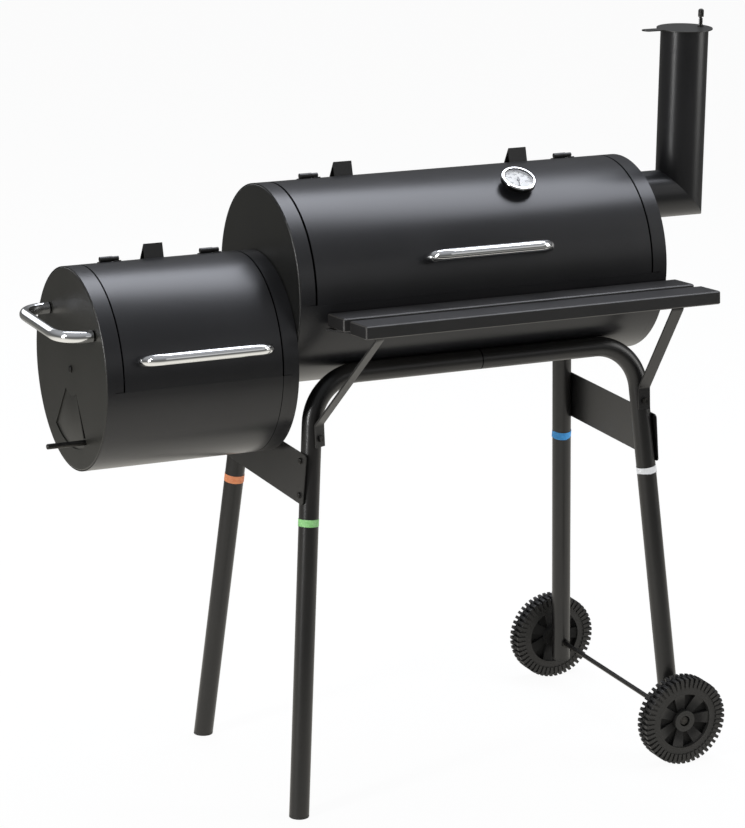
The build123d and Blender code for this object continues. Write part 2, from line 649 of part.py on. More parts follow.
stub = flue_start * flue_tube(FLUE_TAIL + FLUE_REACH + FLUE_RADIUS)
nodes["chimney_stub"] = split(stub, bisect_by=mitre, keep=Keep.BOTTOM)
stack_foot = flue_height - FLUE_RADIUS
stack = Pos(flue_x, 0, stack_foot) * flue_tube(FLUE_TOP - stack_foot)
nodes["chimney_stack"] = split(stack, bisect_by=mitre, keep=Keep.TOP)

pivot_x = flue_x + FLUE_PIVOT_OFFSET
bracket = Pos(pivot_x, 0, FLUE_TOP) * Box(
    FLUE_BRACKET_LENGTH, FLUE_BRACKET_WIDTH, FLUE_BRACKET_THICKNESS, align=DOWNWARD
)
bracket &= Pos(flue_x, 0, FLUE_TOP) * Cylinder(flue_bore - SEAT, 2 * FLUE_BRACKET_THICKNESS)
bracket -= Pos(pivot_x, 0, FLUE_TOP) * hole(FLUE_BOLT_RADIUS + HOLE_CLEARANCE, 2 * FLUE_BRACKET_THICKNESS)
nodes["chimney_cap_bracket"] = bracket

cap_base = FLUE_TOP + SLIDING_GAP
tab_straight = FLUE_TAB_REACH - FLUE_TAB_WIDTH / 2
cap_outline = Circle(FLUE_CAP_RADIUS)
cap_outline += Pos(-tab_straight / 2, 0) * Rectangle(tab_straight, FLUE_TAB_WIDTH)
cap_outline += Pos(-tab_straight, 0) * Circle(FLUE_TAB_WIDTH / 2)
cap_outline -= Pos(FLUE_PIVOT_OFFSET, 0) * Circle(FLUE_BOLT_RADIUS + RUNNING_CLEARANCE)
nodes["chimney_cap"] = Pos(flue_x, 0, cap_base) * extrude(cap_outline, FLUE_CAP_SHEET)

# Cap spring: a helix of half-turn biarcs whose ends bend up and down to stand square on their seats
coil_radius = (SPRING_DIAMETER - SPRING_WIRE) / 2
coil_slope = math.atan2(SPRING_PITCH, 2 * math.pi * coil_radius)
end_turn = SPRING_END_BEND * math.tan((math.pi / 2 - coil_slope) / 2)
coil_start = SPRING_WIRE + end_turn * (1 + math.sin(coil_slope))
up = Vector(0, 0, 1)


def coil_point(half_turns):
    """A point on the spring's centre line."""
    turn = math.pi * half_turns
    height = coil_start + SPRING_PITCH * half_turns / 2
    return Vector(coil_radius * math.cos(turn), coil_radius * math.sin(turn), height)


def coil_tangent(half_turns):
    """The spring's direction at that point."""
    turn = math.pi * half_turns
    flat = math.cos(coil_slope)
    return Vector(-flat * math.sin(turn), flat * math.cos(turn), math.sin(coil_slope))


def biarc(start, start_tangent, end, end_tangent):
    """Two arcs that leave start and reach end along the given directions."""
    chord = end - start
    both = start_tangent + end_tangent
    across = 2 * (1 - start_tangent.dot(end_tangent))
    along = chord.dot(both)
    reach = (math.sqrt(along**2 + across * chord.dot(chord)) - along) / across
    start_control = start + start_tangent * reach
    end_control = end - end_tangent * reach
    joint = (start_control + end_control) * 0.5
    first = TangentArc(start, joint, tangent=start_tangent)
    second = TangentArc(joint, end, tangent=(end_control - start_control).normalized())
    return [first, second]


lower_bend = coil_point(0) - (up + coil_tangent(0)) * end_turn
upper_bend = coil_point(SPRING_HALF_TURNS) + (up + coil_tangent(SPRING_HALF_TURNS)) * end_turn
spring_edges = [Line(lower_bend - up * SPRING_WIRE, lower_bend)]
spring_edges.append(TangentArc(lower_bend, coil_point(0), tangent=up))
for half_turn in range(SPRING_HALF_TURNS):
    spring_edges += biarc(
        coil_point(half_turn),
        coil_tangent(half_turn),
        coil_point(half_turn + 1),
        coil_tangent(half_turn + 1),
    )
spring_edges.append(
    TangentArc(coil_point(SPRING_HALF_TURNS), upper_bend, tangent=coil_tangent(SPRING_HALF_TURNS))
)
spring_edges.append(Line(upper_bend, upper_bend + up * SPRING_WIRE))
spring_line = Wire(spring_edges)
spring_height = upper_bend.Z + SPRING_WIRE
spring = sweep_along(spring_line, Circle(SPRING_WIRE / 2))

sample_points = [spring_line @ (i / SPRING_SAMPLES) for i in range(SPRING_SAMPLES + 1)]
neighbours = int(SPRING_SAMPLES * 4 * SPRING_WIRE / spring_line.length)
least_gap = min(
    (sample_points[i] - sample_points[j]).length
    for i in range(SPRING_SAMPLES + 1)
    for j in range(i + neighbours, SPRING_SAMPLES + 1)
)
print("least gap between spring turns", round(least_gap - SPRING_WIRE, 3))

washer_base = cap_base + FLUE_CAP_SHEET + SLIDING_GAP
spring_base = washer_base + SPRING_SEAT
nut_base = spring_base + spring_height
bolt_hole = hole(FLUE_BOLT_RADIUS + RUNNING_CLEARANCE, LOCK_NUT_HEIGHT)
washer = Cylinder(SPRING_SEAT_RADIUS, SPRING_SEAT, align=UPWARD) - bolt_hole
dome = Cylinder(LOCK_NUT_WIDTH / 2, LOCK_NUT_DOME, align=UPWARD)
dome = fillet(dome.edges().group_by(Axis.Z)[-1], LOCK_NUT_WIDTH / 2 - SPRING_WIRE)
lock_nut = hex_prism(LOCK_NUT_WIDTH, LOCK_NUT_HEIGHT) + Pos(0, 0, LOCK_NUT_HEIGHT) * dome
lock_nut -= bolt_hole
cap_bolt_length = nut_base + LOCK_NUT_HEIGHT - SLIDING_GAP - (FLUE_TOP - FLUE_BRACKET_THICKNESS)
cap_bolt = hex_bolt(FLUE_BOLT_RADIUS, cap_bolt_length, FLUE_BOLT_HEAD, FLUE_BOLT_HEAD_HEIGHT)
nodes["chimney_cap_bolt"] = Pos(pivot_x, 0, FLUE_TOP - FLUE_BRACKET_THICKNESS) * cap_bolt
nodes["chimney_cap_spring"] = Pos(pivot_x, 0, spring_base) * spring
nodes["chimney_cap_nut"] = Compound(
    children=[Pos(pivot_x, 0, washer_base) * washer, Pos(pivot_x, 0, nut_base) * lock_nut]
)

# Stand: each leg is half of a bent tube whose upper run cradles the drum
leg_places = {
    "leg_front_left": (CORNER_LEFT_X, FOOT_LEFT_X, -1, 0.0),
    "leg_back_left": (CORNER_LEFT_X, FOOT_LEFT_X, 1, 0.0),
    "leg_front_right": (CORNER_RIGHT_X, FOOT_RIGHT_X, -1, RIGHT_LEG_END),
    "leg_back_right": (CORNER_RIGHT_X, FOOT_RIGHT_X, 1, RIGHT_LEG_END),
}
tube_bore = TUBE_RADIUS - TUBE_WALL


def leg_point(corner_x, foot_x, side, height):
    """The point of a leg's straight centre line at a height above the floor."""
    share = (rail_height - height) / rail_height
    spread = RAIL_SPREAD + (FOOT_SPREAD - RAIL_SPREAD) * share
    return Vector(corner_x + (foot_x - corner_x) * share, side * spread, height)


def leg_rod(corner_x, foot_x, side, height, radius):
    """A long round rod along a leg's straight centre line, its middle at a height."""
    direction = leg_point(corner_x, foot_x, side, 0) - leg_point(corner_x, foot_x, side, rail_height)
    middle = Plane(origin=leg_point(corner_x, foot_x, side, height), z_dir=direction)
    return middle * Cylinder(radius, 8 * TUBE_RADIUS)


def slab(corner_x, foot_x, side, bottom, top):
    """A level slab about a leg, between two heights."""
    size = 8 * TUBE_RADIUS
    return Pos(leg_point(corner_x, foot_x, side, bottom)) * Box(size, size, top - bottom, align=UPWARD)


def leg_tube(corner_x, foot_x, side, foot_height):
    """A leg tube from the seam under the drum to the top of its plug's flange."""
    corner = leg_point(corner_x, foot_x, side, rail_height)
    below_floor = leg_point(corner_x, foot_x, side, -2 * TUBE_RADIUS)
    seam = Vector(SEAM_X, corner.Y, corner.Z)
    path = FilletPolyline(seam, corner, below_floor, radius=TUBE_BEND)
    tube = sweep_along(path, Circle(TUBE_RADIUS) - Circle(tube_bore))
    flange_top = foot_height + PLUG_FLANGE
    return tube - slab(corner_x, foot_x, side, -4 * TUBE_RADIUS, flange_top)


def leg_plug(corner_x, foot_x, side, foot_height):
    """A plug for a leg: a level flange as wide as the tube, on a spigot inside it."""
    place = (corner_x, foot_x, side)
    flange_top = foot_height + PLUG_FLANGE
    flange = leg_rod(*place, flange_top, TUBE_RADIUS) & slab(*place, foot_height, flange_top)
    spigot = leg_rod(*place, flange_top, tube_bore - PLUG_CLEARANCE)
    return flange + (spigot & slab(*place, foot_height, flange_top + PLUG_DEPTH))


legs = {name: leg_tube(*place) for name, place in leg_places.items()}
nodes["leg_plugs"] = Compound(children=[leg_plug(*place) for place in leg_places.values()])

# The right tubes are drawn down at the seam and slide into the left tubes
for name in ("leg_front_right", "leg_back_right"):
    seam_y = leg_places[name][2] * RAIL_SPREAD
    seam_plane = Plane(origin=(SEAM_X, seam_y, rail_height), z_dir=(-1, 0, 0))
    neck = seam_plane * Cylinder(tube_bore + TUBE_WALL / 2, TUBE_RADIUS, align=DOWNWARD)
    neck += seam_plane * Cylinder(tube_bore - PLUG_CLEARANCE, SPIGOT_LENGTH, align=UPWARD)
    neck -= seam_plane * Cylinder(tube_bore - PLUG_CLEARANCE - TUBE_WALL, 2 * SPIGOT_LENGTH)
    legs[name] += neck

# Bolts from inside the cooking drum into nuts in the bore of the upper tube runs
head_dish = dish_depth(DRUM_BOLT_HEAD / math.sqrt(3), drum_inner)
tube_nut_dish = dish_depth(DRUM_BOLT_HEAD / math.sqrt(3), tube_bore)
head_depth = TUBE_RADIUS + CRADLE_GAP + SHEET + head_dish
tube_nut_seat = head_dish + SHEET + CRADLE_GAP + TUBE_WALL + tube_nut_dish
drum_bolt_length = tube_nut_seat + DRUM_BOLT_HEAD_HEIGHT
drum_bolts = []
for plane in drum_bolt_planes:
    head_plane = Plane(origin=plane.origin - plane.z_dir * head_depth, z_dir=plane.z_dir)
    bolt = hex_bolt(DRUM_BOLT_RADIUS, drum_bolt_length, DRUM_BOLT_HEAD, DRUM_BOLT_HEAD_HEIGHT)
    bolt += Pos(0, 0, tube_nut_seat) * hex_prism(DRUM_BOLT_HEAD, DRUM_BOLT_HEAD_HEIGHT)
    drum_bolts.append(head_plane * bolt)
    side_name = "front" if plane.origin.Y < 0 else "back"
    end_name = "left" if plane.origin.X < 0 else "right"
    bolt_way = head_plane * Cylinder(DRUM_BOLT_RADIUS + HOLE_CLEARANCE, drum_bolt_length, align=UPWARD)
    legs[f"leg_{side_name}_{end_name}"] -= bolt_way
nodes["drum_bolts"] = Compound(children=drum_bolts)

# Side plates: each lies in the leaning plane of its two legs, against their outer sides
brace_screws = []
for end_name, outside in (("left", -1), ("right", 1)):
    corner_x, foot_x, _, _ = leg_places["leg_front_" + end_name]
    lean = Vector(foot_x - corner_x, 0, -rail_height).normalized()
    normal = Vector(-lean.Z, 0, lean.X) * outside
    middle = leg_point(corner_x, foot_x, 0, brace_height)
    plate_plane = Plane(origin=middle + normal * (TUBE_RADIUS + SEAT), x_dir=(0, 1, 0), z_dir=normal)
    plate_height = BRACE_HEIGHT / -lean.Z
    plate_outline = RectangleRounded(2 * BRACE_HALF_LENGTH, plate_height, BRACE_CORNER)
    plate = plate_plane * extrude(plate_outline, BRACE_SHEET)
    for side_name, side in (("front", -1), ("back", 1)):
        for rise in (-BRACE_SCREW_SPREAD, BRACE_SCREW_SPREAD):
            on_leg = leg_point(corner_x, foot_x, side, brace_height + rise)
            head = on_leg + normal * (TUBE_RADIUS + SEAT + BRACE_SHEET)
            head_plane = Plane(origin=head, z_dir=normal * -1)
            screw = round_screw(
                BRACE_SCREW_RADIUS, BRACE_SCREW_LENGTH, BRACE_SCREW_HEAD, BRACE_SCREW_HEAD_HEIGHT
            )
            brace_screws.append(head_plane * screw)
            screw_way = head_plane * hole(BRACE_SCREW_RADIUS + HOLE_CLEARANCE, BRACE_SCREW_LENGTH)
            plate -= screw_way
            legs[f"leg_{side_name}_{end_name}"] -= screw_way
    nodes["side_brace_" + end_name] = plate
nodes["brace_screws"] = Compound(children=brace_screws)

# Shelf: two slats tilted up at the front, each screwed to both straps
tilt = math.radians(SHELF_TILT)
shelf_up = Vector(0, math.sin(tilt), math.cos(tilt))
shelf_plane = Plane(origin=(SLAT_LEFT_X, SHELF_FRONT_Y, shelf_front_z), x_dir=(1, 0, 0), z_dir=shelf_up)
slat_box = Box(SLAT_LENGTH, SLAT_WIDTH, SLAT_THICKNESS, align=(Align.MIN, Align.MIN, Align.MAX))
slat_box = chamfer(slat_box.edges(), SLAT_CHAMFER)
slats = {
    "shelf_slat_front": shelf_plane * slat_box,
    "shelf_slat_rear": shelf_plane * Pos(0, SLAT_WIDTH + SLAT_GAP, 0) * slat_box,
}
front_screw_y = SHELF_FRONT_Y + (SLAT_WIDTH - SLAT_SCREW_EDGE) * math.cos(tilt)
rear_screw_y = SHELF_FRONT_Y + (SLAT_WIDTH + SLAT_GAP + SLAT_WIDTH / 2) * math.cos(tilt)
strap_drop = SLAT_THICKNESS + STRAP_SLACK + STRAP_THICKNESS / 2
shelf_fasteners = []
for end_name, turn_degrees in (("left", STRAP_TURN_LEFT), ("right", STRAP_TURN_RIGHT)):
    corner_x, foot_x, side, _ = leg_places["leg_front_" + end_name]
    turn = math.radians(turn_degrees)
    forward = Vector(math.sin(turn), -math.cos(turn), 0)
    across = Vector(math.cos(turn), math.sin(turn), 0)
    base = leg_point(corner_x, foot_x, side, strap_bolt_height)
    up_leg = leg_point(corner_x, foot_x, side, rail_height) - base
    lean = up_leg.dot(forward) / up_leg.Z
    tab_normal = (forward - up * lean).normalized()
    tab_line = base + tab_normal * (TUBE_RADIUS + SEAT + STRAP_THICKNESS / 2)

    def on_tab(rise):
        """The strap's middle line on the leg, at a height above its bolt."""
        return tab_line + (forward * lean + up) * rise

    def on_arm(y):
        """The strap's middle line under the slats, at a distance from the drum's middle."""
        height = shelf_front_z - (y - SHELF_FRONT_Y) * math.tan(tilt) - strap_drop / math.cos(tilt)
        reach = (base.Y - y) / math.cos(turn)
        return Vector(base.X + forward.X * reach, y, height)

    strap_line = FilletPolyline(
        on_tab(-STRAP_TAB_BELOW),
        on_tab(STRAP_TAB_ABOVE),
        on_arm(STRAP_FRONT_Y),
        on_arm(STRAP_BACK_Y),
        radius=STRAP_BEND,
    )
    strap_section = Plane(origin=strap_line @ 0, x_dir=across, z_dir=strap_line % 0)
    strap = sweep(strap_section * Rectangle(STRAP_WIDTH, STRAP_THICKNESS), strap_line)
    bolt_plane = Plane(origin=tab_line + tab_normal * (STRAP_THICKNESS / 2), z_dir=tab_normal * -1)
    shelf_fasteners.append(
        bolt_plane * hex_bolt(STRAP_BOLT_RADIUS, STRAP_BOLT_LENGTH, STRAP_BOLT_HEAD, STRAP_BOLT_HEAD_HEIGHT)
    )
    bolt_way = bolt_plane * hole(STRAP_BOLT_RADIUS + HOLE_CLEARANCE, STRAP_BOLT_LENGTH)
    legs["leg_front_" + end_name] -= bolt_way
    strap -= bolt_way
    for slat_name, screw_y in (("shelf_slat_front", front_screw_y), ("shelf_slat_rear", rear_screw_y)):
        head = on_arm(screw_y) - shelf_up * (STRAP_THICKNESS / 2 + STRAP_SLACK / 2)
        screw_plane = Plane(origin=head, z_dir=shelf_up)
        screw = round_screw(SLAT_SCREW_RADIUS, SLAT_SCREW_LENGTH, SLAT_SCREW_HEAD, SLAT_SCREW_HEAD_HEIGHT)
        shelf_fasteners.append(screw_plane * screw)
        screw_depth = SLAT_SCREW_LENGTH + HOLE_CLEARANCE
        screw_way = screw_plane * hole(SLAT_SCREW_RADIUS + HOLE_CLEARANCE, screw_depth)
        strap -= screw_way
        slats[slat_name] -= screw_way
    nodes["shelf_strap_" + end_name] = strap
nodes["shelf_fasteners"] = Compound(children=shelf_fasteners)
nodes.update(slats)

# Axle through both right legs, with a spacer outside each leg and nuts that hold legs and wheels
axle_place = (CORNER_RIGHT_X, FOOT_RIGHT_X)
axle_point = leg_point(*axle_place, 1, AXLE_HEIGHT)
leg_end = leg_point(*axle_place, 1, RIGHT_LEG_END)
splay = math.atan((FOOT_SPREAD - RAIL_SPREAD) / rail_height)
wheel_inner = leg_end.Y + TUBE_RADIUS / math.cos(splay) + WHEEL_LEG_GAP
wheel_y = wheel_inner + WHEEL_WIDTH / 2
boss_face = WHEEL_WIDTH / 2 - HUB_BOSS_RECESS
pocket_floor = boss_face - HUB_NUT_POCKET_DEPTH
axle_end = wheel_y + pocket_floor + SLIDING_GAP + AXLE_NUT_HEIGHT
axle_plane = Plane(origin=(axle_point.X, 0, AXLE_HEIGHT), x_dir=(1, 0, 0), z_dir=(0, 1, 0))
axle_hole = axle_plane * hole(AXLE_RADIUS + HOLE_CLEARANCE, axle_end)
nodes["axle"] = axle_plane * Cylinder(AXLE_RADIUS, 2 * axle_end)

axle_fittings = []
for side_name, side in (("front", -1), ("back", 1)):
    leg_name = f"leg_{side_name}_right"
    legs[leg_name] -= axle_hole
    leg_envelope = leg_rod(*axle_place, side, AXLE_HEIGHT, TUBE_RADIUS + SEAT)
    leg_middle = Plane(origin=(axle_point.X, side * axle_point.Y, AXLE_HEIGHT), z_dir=(0, side, 0))
    spacer_length = wheel_inner - axle_point.Y - SLIDING_GAP
    spacer = leg_middle * Cylinder(SPACER_RADIUS, spacer_length, align=UPWARD)
    inner_nut_length = TUBE_RADIUS + AXLE_NUT_HEIGHT
    inner_nut = leg_middle * Pos(0, 0, -inner_nut_length) * hex_prism(AXLE_NUT_WIDTH, inner_nut_length)
    nut_seat = wheel_y + pocket_floor + SLIDING_GAP - axle_point.Y
    outer_nut = leg_middle * Pos(0, 0, nut_seat) * hex_prism(AXLE_NUT_WIDTH, AXLE_NUT_HEIGHT)
    nut_bore = axle_plane * hole(AXLE_RADIUS + RUNNING_CLEARANCE, 2 * axle_end)
    axle_fittings.append(spacer - leg_envelope - nut_bore)
    axle_fittings.append(inner_nut - leg_envelope - nut_bore)
    axle_fittings.append(outer_nut - nut_bore)
nodes["axle_nuts_and_washers"] = Compound(children=axle_fittings)
nodes.update(legs)

# Moulded wheel hub, its axis along Z: rim, web, boss and broad sloping spokes on both sides
rim_half_width = TYRE_CARCASS_WIDTH / 2
hub_outer = TYRE_BORE - HUB_FIT
hub = Cylinder(hub_outer, TYRE_CARCASS_WIDTH) - Cylinder(HUB_RIM_INNER, TYRE_CARCASS_WIDTH)
hub += Cylinder(hub_outer - HUB_FIT, HUB_WEB)
hub += Pos(0, 0, -WHEEL_WIDTH / 2) * Cylinder(HUB_BOSS_RADIUS, WHEEL_WIDTH - HUB_BOSS_RECESS, align=UPWARD)
spoke_root = HUB_BOSS_RADIUS - HUB_BOSS_RECESS
spoke_tip = (HUB_RIM_INNER + hub_outer) / 2
spoke_slope = make_face(
    Polyline(
        (spoke_root, 0),
        (spoke_tip, 0),
        (spoke_tip, rim_half_width - SPOKE_RIM_DROP),
        (spoke_root, rim_half_width - SPOKE_ROOT_DROP),
        close=True,
    )
)
spoke_cone = revolve(Plane.XZ * spoke_slope, Axis.Z)
spoke_plan = Polygon(
    (spoke_root, -SPOKE_ROOT_WIDTH / 2),
    (spoke_tip, -SPOKE_RIM_WIDTH / 2),
    (spoke_tip, SPOKE_RIM_WIDTH / 2),
    (spoke_root, SPOKE_ROOT_WIDTH / 2),
    align=None,
)
spoke_bars = extrude(Sketch() + PolarLocations(0, SPOKE_COUNT) * spoke_plan, WHEEL_WIDTH)
spokes = spoke_cone & spoke_bars
hub += spokes
hub += mirror(spokes, Plane.XY)
hub -= Cylinder(AXLE_RADIUS + RUNNING_CLEARANCE, 2 * WHEEL_WIDTH)
hub -= Pos(0, 0, pocket_floor) * Cylinder(HUB_NUT_POCKET, WHEEL_WIDTH, align=UPWARD)

# Lugged tyre: a round-shouldered ring with a middle rib and two staggered rows of lugs over its shoulders
wheel_radius = AXLE_HEIGHT
lug_tip = math.sqrt(wheel_radius**2 - (LUG_WIDTH / 2) ** 2)
carcass = Cylinder(TYRE_CARCASS_RADIUS, TYRE_CARCASS_WIDTH)
carcass = fillet(carcass.edges(), TYRE_SHOULDER)
carcass += Cylinder(TYRE_RIB_RADIUS, TYRE_RIB_WIDTH)
lug_middle = (LUG_FOOT_RADIUS + lug_tip) / 2
lug = Pos(lug_middle, 0) * Rectangle(lug_tip - LUG_FOOT_RADIUS, LUG_WIDTH)
lug_row = extrude(Sketch() + PolarLocations(0, LUG_COUNT) * lug, WHEEL_WIDTH / 2)
half_pitch = 180 / LUG_COUNT
tyre = carcass + lug_row + Rot(0, 0, half_pitch) * mirror(lug_row, Plane.XY)
tyre -= Cylinder(TYRE_BORE, 2 * WHEEL_WIDTH)

for side_name, side in (("front", -1), ("back", 1)):
    wheel_middle = (axle_point.X, side * wheel_y, AXLE_HEIGHT)
    wheel_plane = Plane(origin=wheel_middle, x_dir=(1, 0, 0), z_dir=(0, side, 0))
    nodes[f"wheel_{side_name}_hub"] = wheel_plane * hub
    nodes[f"wheel_{side_name}_tyre"] = wheel_plane * tyre


# Grates: bars from front to back welded on three rods, lying on ledges inside the drums
def bar_grate(length, depth, bar, pitch):
    """A grate with the top of its bars on z = 0, centred on the Z axis."""
    gaps = int((length - bar) // pitch)
    rod_height = -bar / 2 - (bar - GRATE_WELD)
    grate = Part()
    for i in range(gaps + 1):
        x = (i - gaps / 2) * (length - bar) / gaps
        bar_plane = Plane(origin=(x, -depth / 2, -bar / 2), x_dir=(1, 0, 0), z_dir=(0, 1, 0))
        grate += bar_plane * hex_prism(bar, depth)
    rod_spread = depth / 2 - GRATE_ROD_INSET
    for y in (-rod_spread, 0, rod_spread):
        rod_plane = Plane(origin=(-length / 2, y, rod_height), x_dir=(0, 1, 0), z_dir=(1, 0, 0))
        grate += rod_plane * hex_prism(bar, length)
    return grate


def ledge_pair(x_middle, length, depth, top, axis_height):
    """Two ledges along a drum, under the ends of a grate's bars."""
    bore = Plane(origin=(x_middle, 0, axis_height), z_dir=(1, 0, 0)) * Cylinder(drum_inner - SEAT, length)
    inner_y = depth / 2 - LEDGE_WIDTH
    strip = Pos(x_middle, inner_y, top) * Box(
        length, DRUM_RADIUS, LEDGE_THICKNESS, align=(Align.CENTER, Align.MIN, Align.MAX)
    )
    back = strip & bore
    return [back, mirror(back, Plane.XZ)]


grate_top = DRUM_AXIS_HEIGHT - GRATE_DROP
grate_x = (GRATE_LENGTH + GRATE_APART) / 2
cooking_grate = bar_grate(GRATE_LENGTH, GRATE_DEPTH, GRATE_BAR, GRATE_PITCH)
nodes["cooking_grate_left"] = Pos(-grate_x, 0, grate_top) * cooking_grate
nodes["cooking_grate_right"] = Pos(grate_x, 0, grate_top) * cooking_grate
fire_top = firebox_axis - FIRE_GRATE_DROP
fire_grate = bar_grate(FIRE_GRATE_SIZE, FIRE_GRATE_SIZE, FIRE_GRATE_BAR, FIRE_GRATE_PITCH)
nodes["charcoal_grate"] = Pos(firebox_x, 0, fire_top) * fire_grate
ledges = ledge_pair(
    0, 2 * GRATE_LENGTH + GRATE_APART, GRATE_DEPTH, grate_top - GRATE_BAR, DRUM_AXIS_HEIGHT
)
ledges += ledge_pair(firebox_x, FIRE_GRATE_SIZE, FIRE_GRATE_SIZE, fire_top - FIRE_GRATE_BAR, firebox_axis)
nodes["grate_rests"] = Compound(children=ledges)

# The origin goes to the middle of the whole object on the floor
box = Compound(children=[Compound(shape.solids()) for shape in nodes.values()]).bounding_box()
origin_shift = Vector(-box.center().X, -box.center().Y, -box.min.Z)
os.makedirs("parts", exist_ok=True)
for name, shape in nodes.items():
    solids = shape.solids()
    placed = [Pos(origin_shift) * solid for solid in solids]
    export_step(placed[0] if len(placed) == 1 else Compound(placed), f"parts/{name}.step")
print("size", box.size, "origin", origin_shift, "nodes", len(nodes))
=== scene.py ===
# %% [markdown]
# # An offset smoker, dressed piece by piece
# The smoker arrives as many separate solids, each already in its place and at its real size, in metres.
# This lesson gives every solid its finish, adds the small trim that is not part of the solids, and
# lights the whole thing like a catalogue picture. The solids are never moved: their materials change,
# and only the damper flap gives way to a new piece that stands for it.

# %% Load the solids
import math

import bpy
from mathutils import Matrix, Quaternion, Vector


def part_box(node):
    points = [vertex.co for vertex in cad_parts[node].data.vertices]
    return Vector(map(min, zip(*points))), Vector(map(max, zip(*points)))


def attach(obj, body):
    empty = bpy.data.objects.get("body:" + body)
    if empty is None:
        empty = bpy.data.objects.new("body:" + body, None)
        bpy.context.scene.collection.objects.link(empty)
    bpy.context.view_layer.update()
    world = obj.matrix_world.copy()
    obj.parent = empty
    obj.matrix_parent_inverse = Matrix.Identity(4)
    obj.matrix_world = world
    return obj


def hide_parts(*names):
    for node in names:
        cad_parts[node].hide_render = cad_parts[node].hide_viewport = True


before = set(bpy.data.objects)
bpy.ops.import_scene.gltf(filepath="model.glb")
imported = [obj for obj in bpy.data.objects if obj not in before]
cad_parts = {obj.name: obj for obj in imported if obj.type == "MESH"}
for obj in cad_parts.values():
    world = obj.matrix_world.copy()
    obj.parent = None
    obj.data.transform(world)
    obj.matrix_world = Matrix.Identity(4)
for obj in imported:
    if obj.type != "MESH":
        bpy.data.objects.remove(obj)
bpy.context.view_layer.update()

# %% [markdown]
# ## The camera
# The picture is taken from the firebox side, a little above the lids, with a long lens that keeps the
# drums nearly parallel. The camera could be aimed by hand with a Track To constraint, but a constraint
# leaves no room for the slight roll of the picture, so its three axes are worked out and handed over as
# one matrix. Distances are counted from the middle of the cooking drum, because the picture is built
# around it.

# %% Find the camera's axes
CAMERA_AZIMUTH = math.radians(-25.31)
CAMERA_ELEVATION = math.radians(15.59)
CAMERA_ROLL = math.radians(0.80)
AIM_FROM_DRUM = Vector((-0.1239, 0.0, 0.0))
AIM_HEIGHT = 0.5909


def middle_of(node_name):
    """The middle of a solid's box at rest."""
    low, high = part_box(node_name)
    return (Vector(low) + Vector(high)) / 2


drum_middle = middle_of("main_body")
aim = Vector((drum_middle.x, drum_middle.y, AIM_HEIGHT)) + AIM_FROM_DRUM
backward = Vector(
    (
        math.sin(CAMERA_AZIMUTH) * math.cos(CAMERA_ELEVATION),
        -math.cos(CAMERA_AZIMUTH) * math.cos(CAMERA_ELEVATION),
        math.sin(CAMERA_ELEVATION),
    )
)
level_right = (-backward).cross(Vector((0, 0, 1))).normalized()
level_up = backward.cross(level_right)
right = level_right * math.cos(CAMERA_ROLL) + level_up * math.sin(CAMERA_ROLL)
upward = level_up * math.cos(CAMERA_ROLL) - level_right * math.sin(CAMERA_ROLL)
print("aimed at", [round(v, 3) for v in aim], "looking back along", [round(v, 3) for v in backward])

# %% [markdown]
# The picture is taller than it is wide, so Blender counts the lens and the shift in its height. The
# shift is only a pixel or two, which brings the smoker to its exact place in the picture.

# %% Place the camera
IMAGE_HEIGHT = 828
FOCAL_PIXELS = 3385.3
SHIFT_RIGHT_PIXELS = 0.24
SHIFT_UP_PIXELS = -1.5
SENSOR_WIDTH = 36.0
CAMERA_DISTANCE = 5.4782
FARTHEST_SEEN = 100.0

bpy.ops.object.select_all(action="DESELECT")
bpy.ops.object.camera_add(location=aim + backward * CAMERA_DISTANCE)
camera = bpy.context.object
camera.name = "catalogue_camera"
camera.rotation_euler = Matrix((right, upward, backward)).transposed().to_euler()
camera.data.sensor_width = SENSOR_WIDTH
camera.data.lens = FOCAL_PIXELS / IMAGE_HEIGHT * SENSOR_WIDTH
camera.data.shift_x = SHIFT_RIGHT_PIXELS / IMAGE_HEIGHT
camera.data.shift_y = SHIFT_UP_PIXELS / IMAGE_HEIGHT
camera.data.clip_end = FARTHEST_SEEN
bpy.context.scene.camera = camera
print("camera at", [round(v, 3) for v in camera.location], "lens", round(camera.data.lens, 1))

# %% [markdown]
# ## Writing shaders as sums
# A shader tree is easiest to read as arithmetic. A small class wraps one output socket, and adding or
# multiplying two of them drops a Math node into the tree. Every other node comes from its one node
# method, which sets the node's own settings first and then fills or links its sockets.

# %% A socket that can be added and multiplied
NOISE_LOW = 0.3
NOISE_MIDDLE = 0.5
NOISE_HIGH = 0.7


